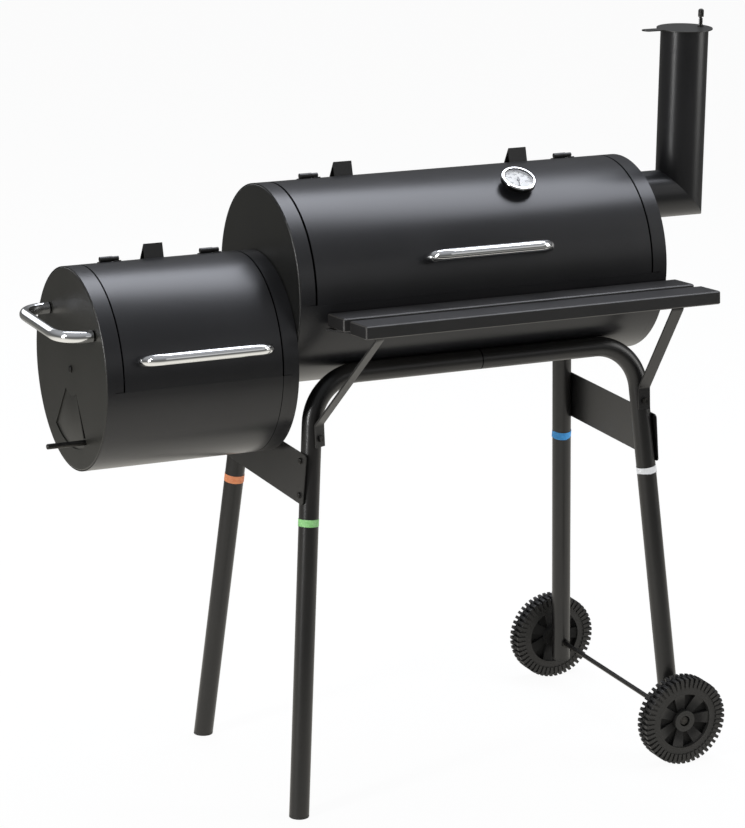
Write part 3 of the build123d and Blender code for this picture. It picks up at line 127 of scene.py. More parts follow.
class Socket:
    """One output of a shader node; arithmetic on it adds Math nodes to the same tree."""

    def __init__(self, tree, socket=None):
        self.tree = tree
        self.socket = socket

    def node(self, kind, settings, inputs, output=0):
        """Add a node: settings first, then values or links for its sockets; returns one of its outputs."""
        made = self.tree.nodes.new(kind)
        for name, value in settings.items():
            setattr(made, name, value)
        for name, value in inputs.items():
            if isinstance(value, Socket):
                self.tree.links.new(value.socket, made.inputs[name])
            else:
                made.inputs[name].default_value = value
        return Socket(self.tree, made.outputs[output])

    def math(self, operation, first, second):
        return self.node("ShaderNodeMath", {"operation": operation}, {0: first, 1: second})

    def __add__(self, other):
        return self.math("ADD", self, other)

    def __radd__(self, other):
        return self.math("ADD", other, self)

    def __sub__(self, other):
        return self.math("SUBTRACT", self, other)

    def __rsub__(self, other):
        return self.math("SUBTRACT", other, self)

    def __mul__(self, other):
        return self.math("MULTIPLY", self, other)

    def __rmul__(self, other):
        return self.math("MULTIPLY", other, self)

    def __truediv__(self, other):
        return self.math("DIVIDE", self, other)

    def __rtruediv__(self, other):
        return self.math("DIVIDE", other, self)

    def __pow__(self, other):
        return self.math("POWER", self, other)

    def __rpow__(self, other):
        return self.math("POWER", other, self)

    def smallest(self, other):
        return self.math("MINIMUM", self, other)

    def largest(self, other):
        return self.math("MAXIMUM", self, other)

    def size(self):
        return self.math("ABSOLUTE", self, 0.0)

    def fraction(self):
        return self.math("FRACT", self, 0.0)

    def bearing(self, other):
        """The angle of the point (other, self), as the arctangent gives it."""
        return self.math("ARCTAN2", self, other)

    def step(self, low, high):
        """0 below low, 1 above high, and an eased slope between them."""
        settings = {"interpolation_type": "SMOOTHSTEP"}
        return self.node("ShaderNodeMapRange", settings, {"Value": self, "From Min": low, "From Max": high})

    def noise(self, scale, detail=2.0, roughness=0.5):
        """A cloudy value about 0.5, where self is a place on the piece."""
        inputs = {"Vector": self, "Scale": scale, "Detail": detail, "Roughness": roughness}
        return self.node("ShaderNodeTexNoise", {}, inputs)

    def spread(self):
        """Noise keeps near its middle; this spreads it over the whole way from 0 to 1."""
        return self.step(NOISE_LOW, NOISE_HIGH)

    def swing(self, reach):
        """Noise counted from its middle, times a reach."""
        return (self - NOISE_MIDDLE) * reach

    def stretched(self, scale):
        """The place on the piece, with its three axes scaled each on their own."""
        return self.node("ShaderNodeMapping", {}, {"Vector": self, "Scale": scale})

    def within(self, middle, rotation):
        """The place counted from the middle of a piece and along its own turned axes."""
        inputs = {"Vector": self, "Location": middle, "Rotation": rotation}
        return self.node("ShaderNodeMapping", {"vector_type": "TEXTURE"}, inputs)

    def axis(self, index):
        """One coordinate of a place."""
        return self.node("ShaderNodeSeparateXYZ", {}, {"Vector": self}, output=index)

    def blend(self, low_colour, high_colour):
        """A colour between two colours, with self as the share of the second."""
        inputs = {0: self, 6: low_colour, 7: high_colour}
        return self.node("ShaderNodeMix", {"data_type": "RGBA"}, inputs, output=2)

    def bump(self, strength, distance):
        """A surface direction tilted by self as a height, in metres at distance."""
        return self.node("ShaderNodeBump", {}, {"Height": self, "Strength": strength, "Distance": distance})


print("socket arithmetic ready")

# %% [markdown]
# A finish is one material. What is the same all over the surface is typed into its main shader's own
# sockets, and what changes from place to place is wired in. Every pattern starts from the place on the
# piece in Object coordinates: the solids have no useful UV map, and a piece that sits at the origin
# carries its pattern along.


# %% A material to wire
class Finish:
    """A material with one main shader, its place on the piece, and wires into the shader's sockets."""

    def __init__(self, name):
        self.material = bpy.data.materials.new(name)
        self.material.use_nodes = True
        self.tree = self.material.node_tree
        self.shader = self.tree.nodes["Principled BSDF"]
        self.place = Socket(self.tree).node("ShaderNodeTexCoord", {}, {}, output="Object")

    def fixed(self, **sockets):
        """Set sockets that are the same all over; underscores in the names stand for spaces."""
        for name, value in sockets.items():
            self.shader.inputs[name.replace("_", " ")].default_value = value
        return self

    def varied(self, **sockets):
        """Wire sockets that change over the surface."""
        for name, wire in sockets.items():
            self.tree.links.new(wire.socket, self.shader.inputs[name.replace("_", " ")])

    def on(self, *node_names):
        """Give this finish to solids."""
        for name in node_names:
            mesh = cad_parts[name].data
            mesh.materials.clear()
            mesh.materials.append(self.material)
        print(self.material.name, "on", len(node_names), "solids")


print("materials can be wired")

# %% [markdown]
# ## The studio
# The smoker stands in a white studio. A wall behind it would hide it from other sides, so there is only
# a wide floor, which fills the whole picture because the camera looks down. To the camera the floor
# shows mostly its own white and keeps a share of ordinary matt shading, so that soft shadows still lie
# under the feet. In the paint it must not shine everywhere: a real studio floor is bright near the
# lamps and dims away from them, so for reflections its light fades with the distance from the smoker.
# Seen through the dial's glass it is plain white.

# %% Lay the floor
FLOOR_RADIUS = 40.0
FLOOR_SIDES = 64
FLOOR_DEPTH = 0.0004

bpy.ops.object.select_all(action="DESELECT")
bpy.ops.mesh.primitive_circle_add(vertices=FLOOR_SIDES, radius=FLOOR_RADIUS, fill_type="NGON")
floor = bpy.context.object
floor.location.z = -FLOOR_DEPTH
floor.name = "studio_floor"
floor_finish = Finish("studio_white")
floor_finish.fixed(Base_Color=(0.92, 0.92, 0.92, 1), Roughness=0.9, Specular_IOR_Level=0.0)
floor.data.materials.append(floor_finish.material)
print("floor radius", FLOOR_RADIUS)

# %% [markdown]
# The floor's own light is an Emission shader, mixed over the matt white by the kind of ray that meets
# it. The bright patch is wider than it is deep, as the smoker is, so distances sideways count for less.

# %% Light the floor
FLOOR_OWN_WHITE = 0.95
FLOOR_BRIGHT_RADIUS = 0.5
FLOOR_DIM_RADIUS = 2.6
FLOOR_SIDEWAYS = 0.5
FLOOR_NEAR = (0.95, 0.92, 0.85, 1)
FLOOR_FAR = (0.16, 0.16, 0.15, 1)

on_floor = floor_finish.place


def met_by(ray_kind):
    """1 where the floor is met by this kind of ray, 0 for all other rays."""
    return on_floor.node("ShaderNodeLightPath", {}, {}, output=ray_kind)


from_middle = ((on_floor.axis(0) * FLOOR_SIDEWAYS) ** 2.0 + on_floor.axis(1) ** 2.0) ** 0.5
mirrored_white = from_middle.step(FLOOR_BRIGHT_RADIUS, FLOOR_DIM_RADIUS).blend(FLOOR_NEAR, FLOOR_FAR)
by_gloss = met_by("Is Glossy Ray")
shown_colour = by_gloss.blend((1, 1, 1, 1), mirrored_white)
own_light = on_floor.node("ShaderNodeEmission", {}, {"Color": shown_colour, "Strength": 1.0})
by_camera = met_by("Is Camera Ray") * FLOOR_OWN_WHITE
own_share = by_camera.largest(by_gloss).largest(met_by("Is Transmission Ray"))
matt_white = Socket(floor_finish.tree, floor_finish.shader.outputs["BSDF"])
floor_mix = on_floor.node("ShaderNodeMixShader", {}, {0: own_share, 1: matt_white, 2: own_light})
floor_finish.tree.links.new(floor_mix.socket, floor_finish.tree.nodes["Material Output"].inputs["Surface"])
print("floor fades from", FLOOR_BRIGHT_RADIUS, "to", FLOOR_DIM_RADIUS, "m")

# %% [markdown]
# A dim dome lights everything evenly, darker towards the horizon so that the black paint stays black.
# It could be one plain colour, but a slow rise towards the top leaves the sides of the drums darker
# than their tops.

# %% Raise the dome
DOME_LOW = (0.10, 0.10, 0.10, 1)
DOME_HIGH = (0.40, 0.41, 0.43, 1)
DOME_FROM = -0.1
DOME_TO = 0.95

world = bpy.data.worlds.new("studio_dome")
bpy.context.scene.world = world
world.use_nodes = True
dome_tree = world.node_tree
dome_place = Socket(dome_tree).node("ShaderNodeTexCoord", {}, {}, output="Generated")
dome_colour = dome_place.axis(2).step(DOME_FROM, DOME_TO).blend(DOME_LOW, DOME_HIGH)
dome_tree.links.new(dome_colour.socket, dome_tree.nodes["Background"].inputs["Color"])
print("dome from", DOME_LOW[:3], "to", DOME_HIGH[:3])

# %% [markdown]
# One large soft lamp hangs above the lids: seen in the round of the drums it becomes the broad pale
# band along their tops. Two tall strips at the sides draw the upright light lines on the chimney and
# the legs. Weak panels in front and behind keep the lower half and the back of the drums from sinking
# into the dark.


# %% Hang the lamps
def hang_lamp(name, place, aim_at, size, watts, colour, turn=0.0):
    """A soft rectangular lamp at a place, facing a point and turned, in degrees, about its own middle."""
    bpy.ops.object.select_all(action="DESELECT")
    bpy.ops.object.light_add(type="AREA", location=place)
    lamp = bpy.context.object
    lamp.name = name
    facing = (Vector(aim_at) - Vector(place)).to_track_quat("-Z", "Y")
    lamp.rotation_euler = (facing @ Quaternion((0, 0, 1), math.radians(turn))).to_euler()
    lamp.data.shape = "RECTANGLE"
    lamp.data.size, lamp.data.size_y = size
    lamp.data.energy = watts
    lamp.data.color = colour
    print(name, watts, "W")


hang_lamp(
    "top_softbox", place=(0.97, 0.8, 3.4), aim_at=(0.97, 0.6, 0.0),
    size=(3.6, 1.5), watts=96.0, colour=(0.88, 0.91, 1.0), turn=-50.0,
)
hang_lamp(
    "front_panel", place=(1.6, -3.4, 1.9), aim_at=(0.0, 0.0, 0.6),
    size=(2.5, 1.5), watts=4.5, colour=(1.0, 1.0, 1.0),
)
hang_lamp(
    "left_strip", place=(-3.1, -1.0, 1.7), aim_at=(0.0, 0.0, 0.8),
    size=(0.4, 2.4), watts=78.0, colour=(1.0, 1.0, 1.0),
)
hang_lamp(
    "back_panel", place=(-1.0, 3.8, 2.3), aim_at=(0.0, 0.0, 0.7),
    size=(2.6, 1.4), watts=16.0, colour=(0.95, 0.97, 1.0),
)
hang_lamp(
    "right_strip", place=(2.9, -1.35, 1.7), aim_at=(0.0, 0.0, 0.8),
    size=(1.4, 2.4), watts=34.0, colour=(1.0, 0.99, 0.97),
)

# %% [markdown]
# ## Black heat paint
# The drums, the stand and the chimney are sprayed with satin heat paint. It is not evenly black: the
# film is a little thicker here and thinner there, so its shine wanders, and up close it has the fine
# pebbled skin that sprayers call orange peel. A flat dark colour would look like a hole in the picture;
# slow noise in the shine and a very fine bump give the light something to break on. Where a dark line
# is wanted across the paint, it is drawn as a black with next to no reflection, which the shader gives
# as a black metal: on a joint it is the joint's own dark colour, and in a slit it is painted shade.

# %% Mix the heat paint
CLOUD_SCALE = 7.0
CLOUD_SHARE = 0.7
STREAK_STRETCH = (2.0, 30.0, 30.0)
STREAK_SCALE = 1.5
PEEL_SCALE = 620.0
PEEL_SHINE = 0.03
PEEL_STRENGTH = 0.10
PEEL_HEIGHT = 0.00012
JOINT_AND_SLIT_SHADE_BLACK = (0.001, 0.001, 0.001, 1)
DARK_LINE_DULLING = 0.5
DARK_LINE_BLUR = 0.0003
SEAM_REACH = 0.0009


def heat_paint(name, blacks, shine, wander, seam=None, reach=SEAM_REACH):
    """Satin heat paint: near blacks, a mean roughness with its wander, and a black line across X for joints
    and slit shade.
    """
    paint = Finish(name)
    clouds = paint.place.noise(CLOUD_SCALE, detail=4.0, roughness=0.6)
    peel = paint.place.noise(PEEL_SCALE, detail=2.0)
    streaks = paint.place.stretched(STREAK_STRETCH).noise(STREAK_SCALE, detail=3.0)
    tone = clouds.spread() * CLOUD_SHARE + streaks * (1.0 - CLOUD_SHARE)
    colour = tone.blend(*blacks)
    rough = shine + clouds.swing(wander) + peel.swing(PEEL_SHINE)
    if seam is not None:
        from_seam = (paint.place.axis(0) - seam).size()
        # The black line is a dark joint's own colour on the legs and the firebox body, and painted shade in
        # the slits.
        line = 1.0 - from_seam.step(reach - DARK_LINE_BLUR, reach + DARK_LINE_BLUR)
        colour = line.blend(colour, JOINT_AND_SLIT_SHADE_BLACK)
        rough = rough + line * DARK_LINE_DULLING
        paint.varied(Metallic=line)
    paint.varied(Base_Color=colour, Roughness=rough, Normal=peel.bump(PEEL_STRENGTH, PEEL_HEIGHT))
    return paint.fixed(Specular_IOR_Level=0.5)


print("heat paint mixed, peel", PEEL_HEIGHT * 1000, "mm high")

# %% [markdown]
# The same paint comes out a little different on each kind of piece: smooth on the rolled sheets, duller
# on the pressed ends, and in between on the stand. Each kind has two near blacks, and a mean roughness
# with how far it wanders. Under the drum the tubes of the left and the right legs meet, and a thin dark
# line shows there.

# %% Spray the drums and the stand
DRUM_BLACKS = ((0.008, 0.008, 0.009, 1), (0.012, 0.012, 0.013, 1))
DRUM_SHINE = (0.30, 0.05)
END_BLACKS = ((0.010, 0.010, 0.008, 1), (0.016, 0.015, 0.013, 1))
END_SHINE = (0.38, 0.08)
STAND_BLACKS = ((0.010, 0.010, 0.010, 1), (0.016, 0.015, 0.014, 1))
STAND_SHINE = (0.33, 0.08)
LEG_BLACKS = ((0.008, 0.008, 0.008, 1), (0.013, 0.012, 0.011, 1))
LEG_SHINE = (0.31, 0.05)
LEG_SEAM_FROM_DRUM = 0.004

drum_paint = heat_paint("drum_heat_paint", DRUM_BLACKS, *DRUM_SHINE)
drum_paint.on("main_body", "main_lid", "firebox_lid", "chimney_stub", "chimney_stack")
end_paint = heat_paint("end_cap_heat_paint", END_BLACKS, *END_SHINE)
end_paint.on("damper_flap", "chimney_cap")
stand_paint = heat_paint("stand_paint", STAND_BLACKS, *STAND_SHINE)
stand_paint.on("side_brace_left", "side_brace_right", "shelf_strap_left", "shelf_strap_right")
stand_paint.on("hinge_leaves_fixed", "main_lid_hinge_leaves", "firebox_lid_hinge_leaves", "hinge_pins")
stand_paint.on("lid_stops", "chimney_cap_bracket", "grate_rests")
leg_paint = heat_paint("leg_paint", LEG_BLACKS, *LEG_SHINE, seam=drum_middle.x + LEG_SEAM_FROM_DRUM)
leg_paint.on("leg_front_left", "leg_front_right", "leg_back_left", "leg_back_right")

# %% [markdown]
# The rim of each pressed end runs on under the lid. Beside the lid a narrow slit is left, and down in
# it the rim lies in shade, painted as a black line, so each end has its own paint with a line of painted
# shade at its own place. At the inner end of the firebox the dark line runs on round the body, where one
# sheet stops against the next.

# %% Spray the ends
LID_EDGE = 0.029
LID_SLITS = {
    "firebox_end_left": 0.0026,
    "firebox_end_right": 0.0026,
    "main_end_left": 0.0036,
    "main_end_right": 0.0030,
}
LEFT_END = 0
RIGHT_END = 1
SLIT_SPILL = 0.0004
EDGE_REACH = 0.0005
# The cooking drum's ends take a darker copy of the end paint: painted shade, as they get less light.
SHADED_MAIN_END_BLACKS = ((0.004, 0.004, 0.004, 1), (0.008, 0.008, 0.007, 1))


def end_face(end_name, side):
    """Where an end's outer face lies along X, and the sign of the way inwards."""
    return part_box(end_name)[side][0], 1 - 2 * side


def spray_end(end_name, side, blacks):
    """Paint one end, with painted shade in the slit beside the lid."""
    face_x, inward = end_face(end_name, side)
    half_slit = LID_SLITS[end_name] / 2
    slit_shade_line = face_x + inward * (LID_EDGE - half_slit)
    reach = half_slit + SLIT_SPILL
    heat_paint(end_name + "_paint", blacks, *END_SHINE, seam=slit_shade_line, reach=reach).on(end_name)
    # The line printed here is the painted shade in the slit.
    print(end_name, "soot line at x", round(slit_shade_line, 4))
    return slit_shade_line


spray_end("firebox_end_left", LEFT_END, END_BLACKS)
sheet_edge = spray_end("firebox_end_right", RIGHT_END, END_BLACKS)
spray_end("main_end_left", LEFT_END, SHADED_MAIN_END_BLACKS)
spray_end("main_end_right", RIGHT_END, SHADED_MAIN_END_BLACKS)
firebox_paint = heat_paint("firebox_heat_paint", DRUM_BLACKS, *DRUM_SHINE, sheet_edge, EDGE_REACH)
firebox_paint.on("firebox_body")

# %% [markdown]
# ## Chrome
# The three bar handles are chromed tube: almost a mirror, with a breath of haze from polishing. Chrome
# is a metal, so its colour is in the reflection, and the haze only dulls it here and there. The
# transport handle stands on the black end of the firebox, and its feet close with dark rings.

# %% Plate the handles
CHROME_HAZY = (0.78, 0.79, 0.80, 1)
CHROME_CLEAR = (0.88, 0.88, 0.88, 1)
CHROME_SHINE = 0.05
POLISH_STRETCH = (40.0, 400.0, 400.0)
POLISH_DULLING = 0.05
HAZE_DULLING = 0.03
FOOT_DARK = (0.02, 0.02, 0.02, 1)
FOOT_RING = 0.003
FOOT_BLUR = 0.0005


def chrome_plate(name, foot_x=None):
    """Polished chrome with a breath of haze; a handle that stands on a plate at foot_x has dark feet."""
    plate = Finish(name)
    polish = plate.place.stretched(POLISH_STRETCH).noise(scale=3.0, detail=3.0)
    haze = plate.place.noise(scale=25.0, detail=3.0)
    colour = haze.blend(CHROME_HAZY, CHROME_CLEAR)
    if foot_x is not None:
        foot = (plate.place.axis(0) - (foot_x - FOOT_RING)).step(0.0, FOOT_BLUR)
        colour = foot.blend(colour, FOOT_DARK)
    rough = CHROME_SHINE + polish * POLISH_DULLING + haze * HAZE_DULLING
    plate.varied(Base_Color=colour, Roughness=rough)
    return plate.fixed(Metallic=1.0)


chrome_plate("polished_chrome").on("main_lid_handle", "firebox_lid_handle")
chrome_plate("footed_chrome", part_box("firebox_end_left")[0][0]).on("transport_handle")

# %% [markdown]
# ## Zinc and blacked steel
# The screws of the handles, the bolts between the drums and the cooking grates are zinc-plated, with a
# faint crystalline mottle. The axle, the damper's knob, the charcoal grate and the fasteners of the
# stand and the chimney cap are blacked in oil, which leaves a dark metal with a dull shine. One recipe
# serves for both.

# %% Plate the small steel pieces
MOTTLE_SCALE = 180.0
MOTTLE_HEIGHT = 0.0001


def plain_steel(name, dark, light, shine):
    """Zinc-plated or blacked steel with a faint crystalline mottle."""
    steel = Finish(name)
    mottle = steel.place.noise(MOTTLE_SCALE, detail=4.0)
    steel.varied(
        Base_Color=mottle.spread().blend(dark, light),
        Roughness=shine + mottle.swing(0.2),
        Normal=mottle.bump(strength=0.15, distance=MOTTLE_HEIGHT),
    )
    return steel.fixed(Metallic=1.0)


zinc = plain_steel("zinc_plate", (0.35, 0.35, 0.34, 1), (0.52, 0.52, 0.52, 1), shine=0.32)
zinc.on("joining_bolts", "transport_handle_screws", "main_lid_handle_screws", "firebox_lid_handle_screws")
zinc.on("thermometer_stem", "cooking_grate_left", "cooking_grate_right")
blacked = plain_steel("blacked_steel", (0.030, 0.030, 0.030, 1), (0.060, 0.058, 0.055, 1), shine=0.42)
blacked.on("damper_knob", "damper_rivet", "chimney_cap_bolt", "chimney_cap_spring", "chimney_cap_nut")
blacked.on("brace_screws", "shelf_fasteners", "drum_bolts")
# The nuts and washers on the axle sit deep in the hubs, and their dark metal is partly painted shade.
blacked.on("axle", "axle_nuts_and_washers", "charcoal_grate")

# %% [markdown]
# ## Moulded wheels and plugs
# The wheels are moulded in one dark grey plastic, tread and all, and the feet are closed with plugs of
# the same. Moulded plastic has a fine spark-eroded grain and no metal shine, so it stays rough. Deep
# between the spokes, towards the wheel's middle plane, shade is painted in: the plastic there is darker
# and duller than on the outer faces.

# %% Mould the plastic
GRAIN_SCALE = 900.0
GRAIN_HEIGHT = 0.0001
FLOW_SCALE = 30.0
FLOW_REACH = 0.001
RECESS_WITHIN = 0.0075
FACE_BEYOND = 0.0105
RECESS_PAINTED_SHADE = (0.002, 0.002, 0.002, 1)
RECESS_ROUGH = 0.78
FACE_ROUGH = 0.52
FACE_GREYS = ((0.009, 0.009, 0.008, 1), (0.015, 0.014, 0.013, 1))


def moulded_plastic(name, hub_name):
    """Grey plastic for one wheel, with painted shade near the middle plane: darker and duller there."""
    plastic = Finish(name)
    grain = plastic.place.noise(GRAIN_SCALE, detail=1.0)
    flow = plastic.place.noise(FLOW_SCALE, detail=3.0)
    from_plane = (plastic.place.axis(1) - middle_of(hub_name).y).size()
    # Near the wheel's middle plane the plastic is given painted shade.
    out_of_painted_shade = (from_plane + flow.swing(FLOW_REACH)).step(RECESS_WITHIN, FACE_BEYOND)
    plastic.varied(
        Base_Color=out_of_painted_shade.blend(RECESS_PAINTED_SHADE, flow.spread().blend(*FACE_GREYS)),
        Roughness=RECESS_ROUGH - out_of_painted_shade * (RECESS_ROUGH - FACE_ROUGH) + flow.swing(0.12),
        Normal=grain.bump(strength=0.3, distance=GRAIN_HEIGHT),
    )
    return plastic


front_plastic = moulded_plastic("front_wheel_plastic", "wheel_front_hub")
front_plastic.on("wheel_front_hub", "wheel_front_tyre", "leg_plugs")
back_plastic = moulded_plastic("back_wheel_plastic", "wheel_back_hub")
back_plastic.on("wheel_back_hub", "wheel_back_tyre")

# %% [markdown]
# ## Painted wooden slats
# The shelf is two wooden slats painted black. Under the paint the grain still lifts in long ridges, and
# along the chamfered edges the paint is rubbed thin and the edges catch the light, so a paler line is
# painted there, partly wear and partly a painted highlight. Grain runs along the slats, so the noise is
# stretched in X. The pale edge line could be drawn on a UV map, but each slat is a plain tilted box:
# counted from its own middle and along its own axes, a point lies on an edge wherever two of its three
# distances reach the border.

# %% Paint the slats
SLAT_HALF = (0.309, 0.030, 0.0105)
SLAT_TILT = math.radians(-4.8)
SLAT_BLACKS = ((0.006, 0.006, 0.006, 1), (0.013, 0.012, 0.012, 1))
SLAT_ROUGH = 0.50
RIDGE_STRETCH = (4.0, 160.0, 160.0)
RIDGE_HEIGHT = 0.0004
RIDGE_SHARE = 0.6
FLECK_STRETCH = (1.0, 3.0, 3.0)
FLECK_REACH = 0.0008
EDGE_LINE_REACH = 0.002
EDGE_LINE_FROM = 0.0001
EDGE_LINE_TO = 0.0008
WORN_AND_HIGHLIT_GREY = (0.048, 0.045, 0.041, 1)
EDGE_LINE_POLISH = 0.14


def painted_slat(name, node_name):
    """Black paint over grain on one slat, with a pale edge line: wear and painted highlight."""
    wood = Finish(name)
    ridges = wood.place.stretched(RIDGE_STRETCH).noise(scale=1.0, detail=5.0, roughness=0.6)
    patches = wood.place.noise(scale=14.0, detail=3.0)
    flecks = wood.place.stretched(FLECK_STRETCH).noise(scale=90.0, detail=3.0)
    inside = wood.place.within(middle_of(node_name), (SLAT_TILT, 0, 0))
    along = inside.axis(0).size() - (SLAT_HALF[0] - EDGE_LINE_REACH)
    across = inside.axis(1).size() - (SLAT_HALF[1] - EDGE_LINE_REACH)
    through = inside.axis(2).size() - (SLAT_HALF[2] - EDGE_LINE_REACH)
    edge = along.smallest(across).largest(across.smallest(through)).largest(along.smallest(through))
    # The pale edge line is partly wear and partly a painted highlight.
    worn_and_highlit_edge = (edge + flecks.swing(FLECK_REACH)).step(EDGE_LINE_FROM, EDGE_LINE_TO)
    painted = (ridges * RIDGE_SHARE + patches * (1.0 - RIDGE_SHARE)).blend(*SLAT_BLACKS)
    wood.varied(
        Base_Color=worn_and_highlit_edge.blend(painted, WORN_AND_HIGHLIT_GREY),
        Roughness=SLAT_ROUGH + patches.swing(0.15) - worn_and_highlit_edge * EDGE_LINE_POLISH,
        Normal=ridges.bump(strength=0.35, distance=RIDGE_HEIGHT),
    )
    wood.on(node_name)


painted_slat("painted_wood_front", "shelf_slat_front")
painted_slat("painted_wood_rear", "shelf_slat_rear")

# %% [markdown]
# ## The thermometer's face
# A white printed dial sits behind a clear glass, with a thin black pointer that rests at the cold end
# and sweeps three quarters of a turn. The scale marks are ink on card, with no thickness to speak of,
# so they are printed by the dial's own material: the angle round the dial is cut into equal parts, and
# a mark is drawn where a point lies close to a cut.

# %% Measure round the dial
GAUGE_TURN = math.radians(28.0)
SCALE_START = math.radians(164.0)
SCALE_SWEEP = math.radians(270.0)

dial_middle = middle_of("thermometer_dial")
dial_paint = Finish("dial_white")
on_dial = dial_paint.place.within(dial_middle, (GAUGE_TURN, 0, 0))
dial_right = on_dial.axis(0)
dial_up = on_dial.axis(1)
from_centre = (dial_right ** 2.0 + dial_up ** 2.0) ** 0.5
turned = SCALE_START - (0.0 - dial_right).bearing(dial_up)
along_scale = turned / SCALE_SWEEP
print("dial middle", [round(v, 4) for v in dial_middle])

# %% [markdown]
# Long marks, short marks and the thin line round them are three masks. The darkest of the three wins,
# so they are put together with a maximum, and the ink stops a hair past the first and the last mark.

# %% Print the dial
MARK_OUTER = 0.0222
LONG_MARKS = {"count": 10, "inner": 0.0178, "half_width": 0.00045}
SHORT_MARKS = {"count": 50, "inner": 0.0202, "half_width": 0.00022}
MARK_BLUR = 0.4
INK_BLUR = 0.0002
RIM_FROM = 0.0001
RIM_TO = 0.0003
SPILL_FROM = 0.004
SPILL_TO = 0.006
CARD_WHITES = ((0.78, 0.78, 0.76, 1), (0.84, 0.84, 0.82, 1))
CARD_ROUGH = 0.55
INK = (0.02, 0.02, 0.02, 1)


def scale_marks(count, inner, half_width):
    """Equal marks round the scale: 1 in the ink and 0 on the card."""
    from_cut = ((along_scale * count + 0.5).fraction() - 0.5).size() * (SCALE_SWEEP / count) * from_centre
    drawn = 1.0 - from_cut.step(half_width * (1.0 - MARK_BLUR), half_width * (1.0 + MARK_BLUR))
    begun = drawn * from_centre.step(inner - INK_BLUR, inner)
    return begun * (1.0 - from_centre.step(MARK_OUTER, MARK_OUTER + INK_BLUR))


rim_line = 1.0 - (from_centre - MARK_OUTER).size().step(RIM_FROM, RIM_TO)
past_end = along_scale.step(1.0 + SPILL_FROM, 1.0 + SPILL_TO)
on_scale = along_scale.step(-SPILL_TO, -SPILL_FROM) * (1.0 - past_end)
ink = scale_marks(**LONG_MARKS).largest(scale_marks(**SHORT_MARKS)).largest(rim_line)
card = dial_paint.place.noise(scale=300.0, detail=2.0)
dial_paint.varied(
    Base_Color=(ink * on_scale).blend(card.blend(*CARD_WHITES), INK),
    Roughness=CARD_ROUGH + card.swing(0.1),
)
dial_paint.on("thermometer_dial")

# %% [markdown]
# The numbers follow the same scale. Letters are hard to draw with arithmetic, so each number starts as
# a text object, becomes a mesh, and is then moved to its place in front of the card.

# %% Write the numbers
NUMBERS = (50, 100, 150, 200, 250, 300)
NUMBER_RADIUS = 0.0143
NUMBER_HEIGHT = 0.0048
NUMBER_LIFT = 0.00052
NUMBER_SKIN = 0.00003

dial_turn = Matrix.Rotation(GAUGE_TURN, 4, "X")


def write_number(number, angle):
    """One number as a thin mesh, upright at an angle round the dial."""
    spot = Vector((-math.sin(angle) * NUMBER_RADIUS, math.cos(angle) * NUMBER_RADIUS, NUMBER_LIFT))
    bpy.ops.object.select_all(action="DESELECT")
    bpy.ops.object.text_add()
    written = bpy.context.object
    written.data.body = str(number)
    written.data.size = NUMBER_HEIGHT
    written.data.align_x = "CENTER"
    written.data.align_y = "CENTER"
    written.data.extrude = NUMBER_SKIN
    bpy.ops.object.convert(target="MESH")
    written.matrix_world = Matrix.Translation(dial_middle) @ dial_turn @ Matrix.Translation(spot)
    bpy.ops.object.transform_apply(location=True, rotation=True, scale=True)
    return written


number_pieces = []
for index, number in enumerate(NUMBERS):
    angle = SCALE_START - SCALE_SWEEP * index / (len(NUMBERS) - 1)
    number_pieces.append(write_number(number, angle))
print("numbers:", len(number_pieces))

# %% [markdown]
# Joining the numbers leaves one piece, which turns with the lid. They are printed in the pointer's
# black.

# %% Print the numbers on the dial
POINTER_BLACKS = ((0.01, 0.01, 0.01, 1), (0.02, 0.02, 0.02, 1))
POINTER_SHINE = (0.45, 0.1)


def join_pieces(kept, *others):
    """Join pieces into the first one."""
    bpy.ops.object.select_all(action="DESELECT")
    for piece in (kept, *others):
        piece.select_set(True)
    bpy.context.view_layer.objects.active = kept
    bpy.ops.object.join()
    return kept


pointer_paint = heat_paint("pointer_black", POINTER_BLACKS, *POINTER_SHINE)
pointer_paint.on("thermometer_needle")
dial_numbers = join_pieces(*number_pieces)
dial_numbers.name = "dial_numbers"
dial_numbers.data.materials.clear()
dial_numbers.data.materials.append(pointer_paint.material)
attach(dial_numbers, "main_lid")
print("dial numbers, faces:", len(dial_numbers.data.polygons))

# %% [markdown]
# The case is pressed from one sheet. Its rolled rim is bright metal, and on its wall a dark reflection of
# the drum is painted in as a dark metal, so the change follows the height above the dial. The glass is a
# plain flat disc, with a faint smear that blurs the reflection here and there. It is given a lower index
# than real glass has, because a full mirror image of the lamp above would wash out the dial.

# %% Finish the case and the glass
WALL_TOP = 0.0030
RIM_FOOT = 0.0042
RIM_WAVER = 0.0006
WALL_PAINTED_REFLECTION = (0.03, 0.03, 0.03, 1)
WALL_ROUGH = 0.30
RIM_BRIGHT = (0.86, 0.86, 0.86, 1)
RIM_ROUGH = 0.08
GLASS_INDEX = 1.16
GLASS_ROUGH = 0.01
SMEAR_ROUGH = 0.02

case = Finish("thermometer_chrome")
case_height = case.place.within(dial_middle, (GAUGE_TURN, 0, 0)).axis(2)
waver = case.place.noise(scale=120.0).swing(RIM_WAVER)
# Below the rim the wall shows a painted dark reflection of the drum.
bright_rim = (case_height + waver).step(WALL_TOP, RIM_FOOT)
case.varied(
    Base_Color=bright_rim.blend(WALL_PAINTED_REFLECTION, RIM_BRIGHT),
    Roughness=WALL_ROUGH - bright_rim * (WALL_ROUGH - RIM_ROUGH),
)
case.fixed(Metallic=1.0)
case.on("thermometer_case")
glass = Finish("dial_glass")
smear = glass.place.noise(scale=40.0, detail=2.0)
glass.varied(Roughness=GLASS_ROUGH + smear * SMEAR_ROUGH)
glass.fixed(Base_Color=(1, 1, 1, 1), Transmission_Weight=1.0, IOR=GLASS_INDEX)
glass.on("thermometer_lens")

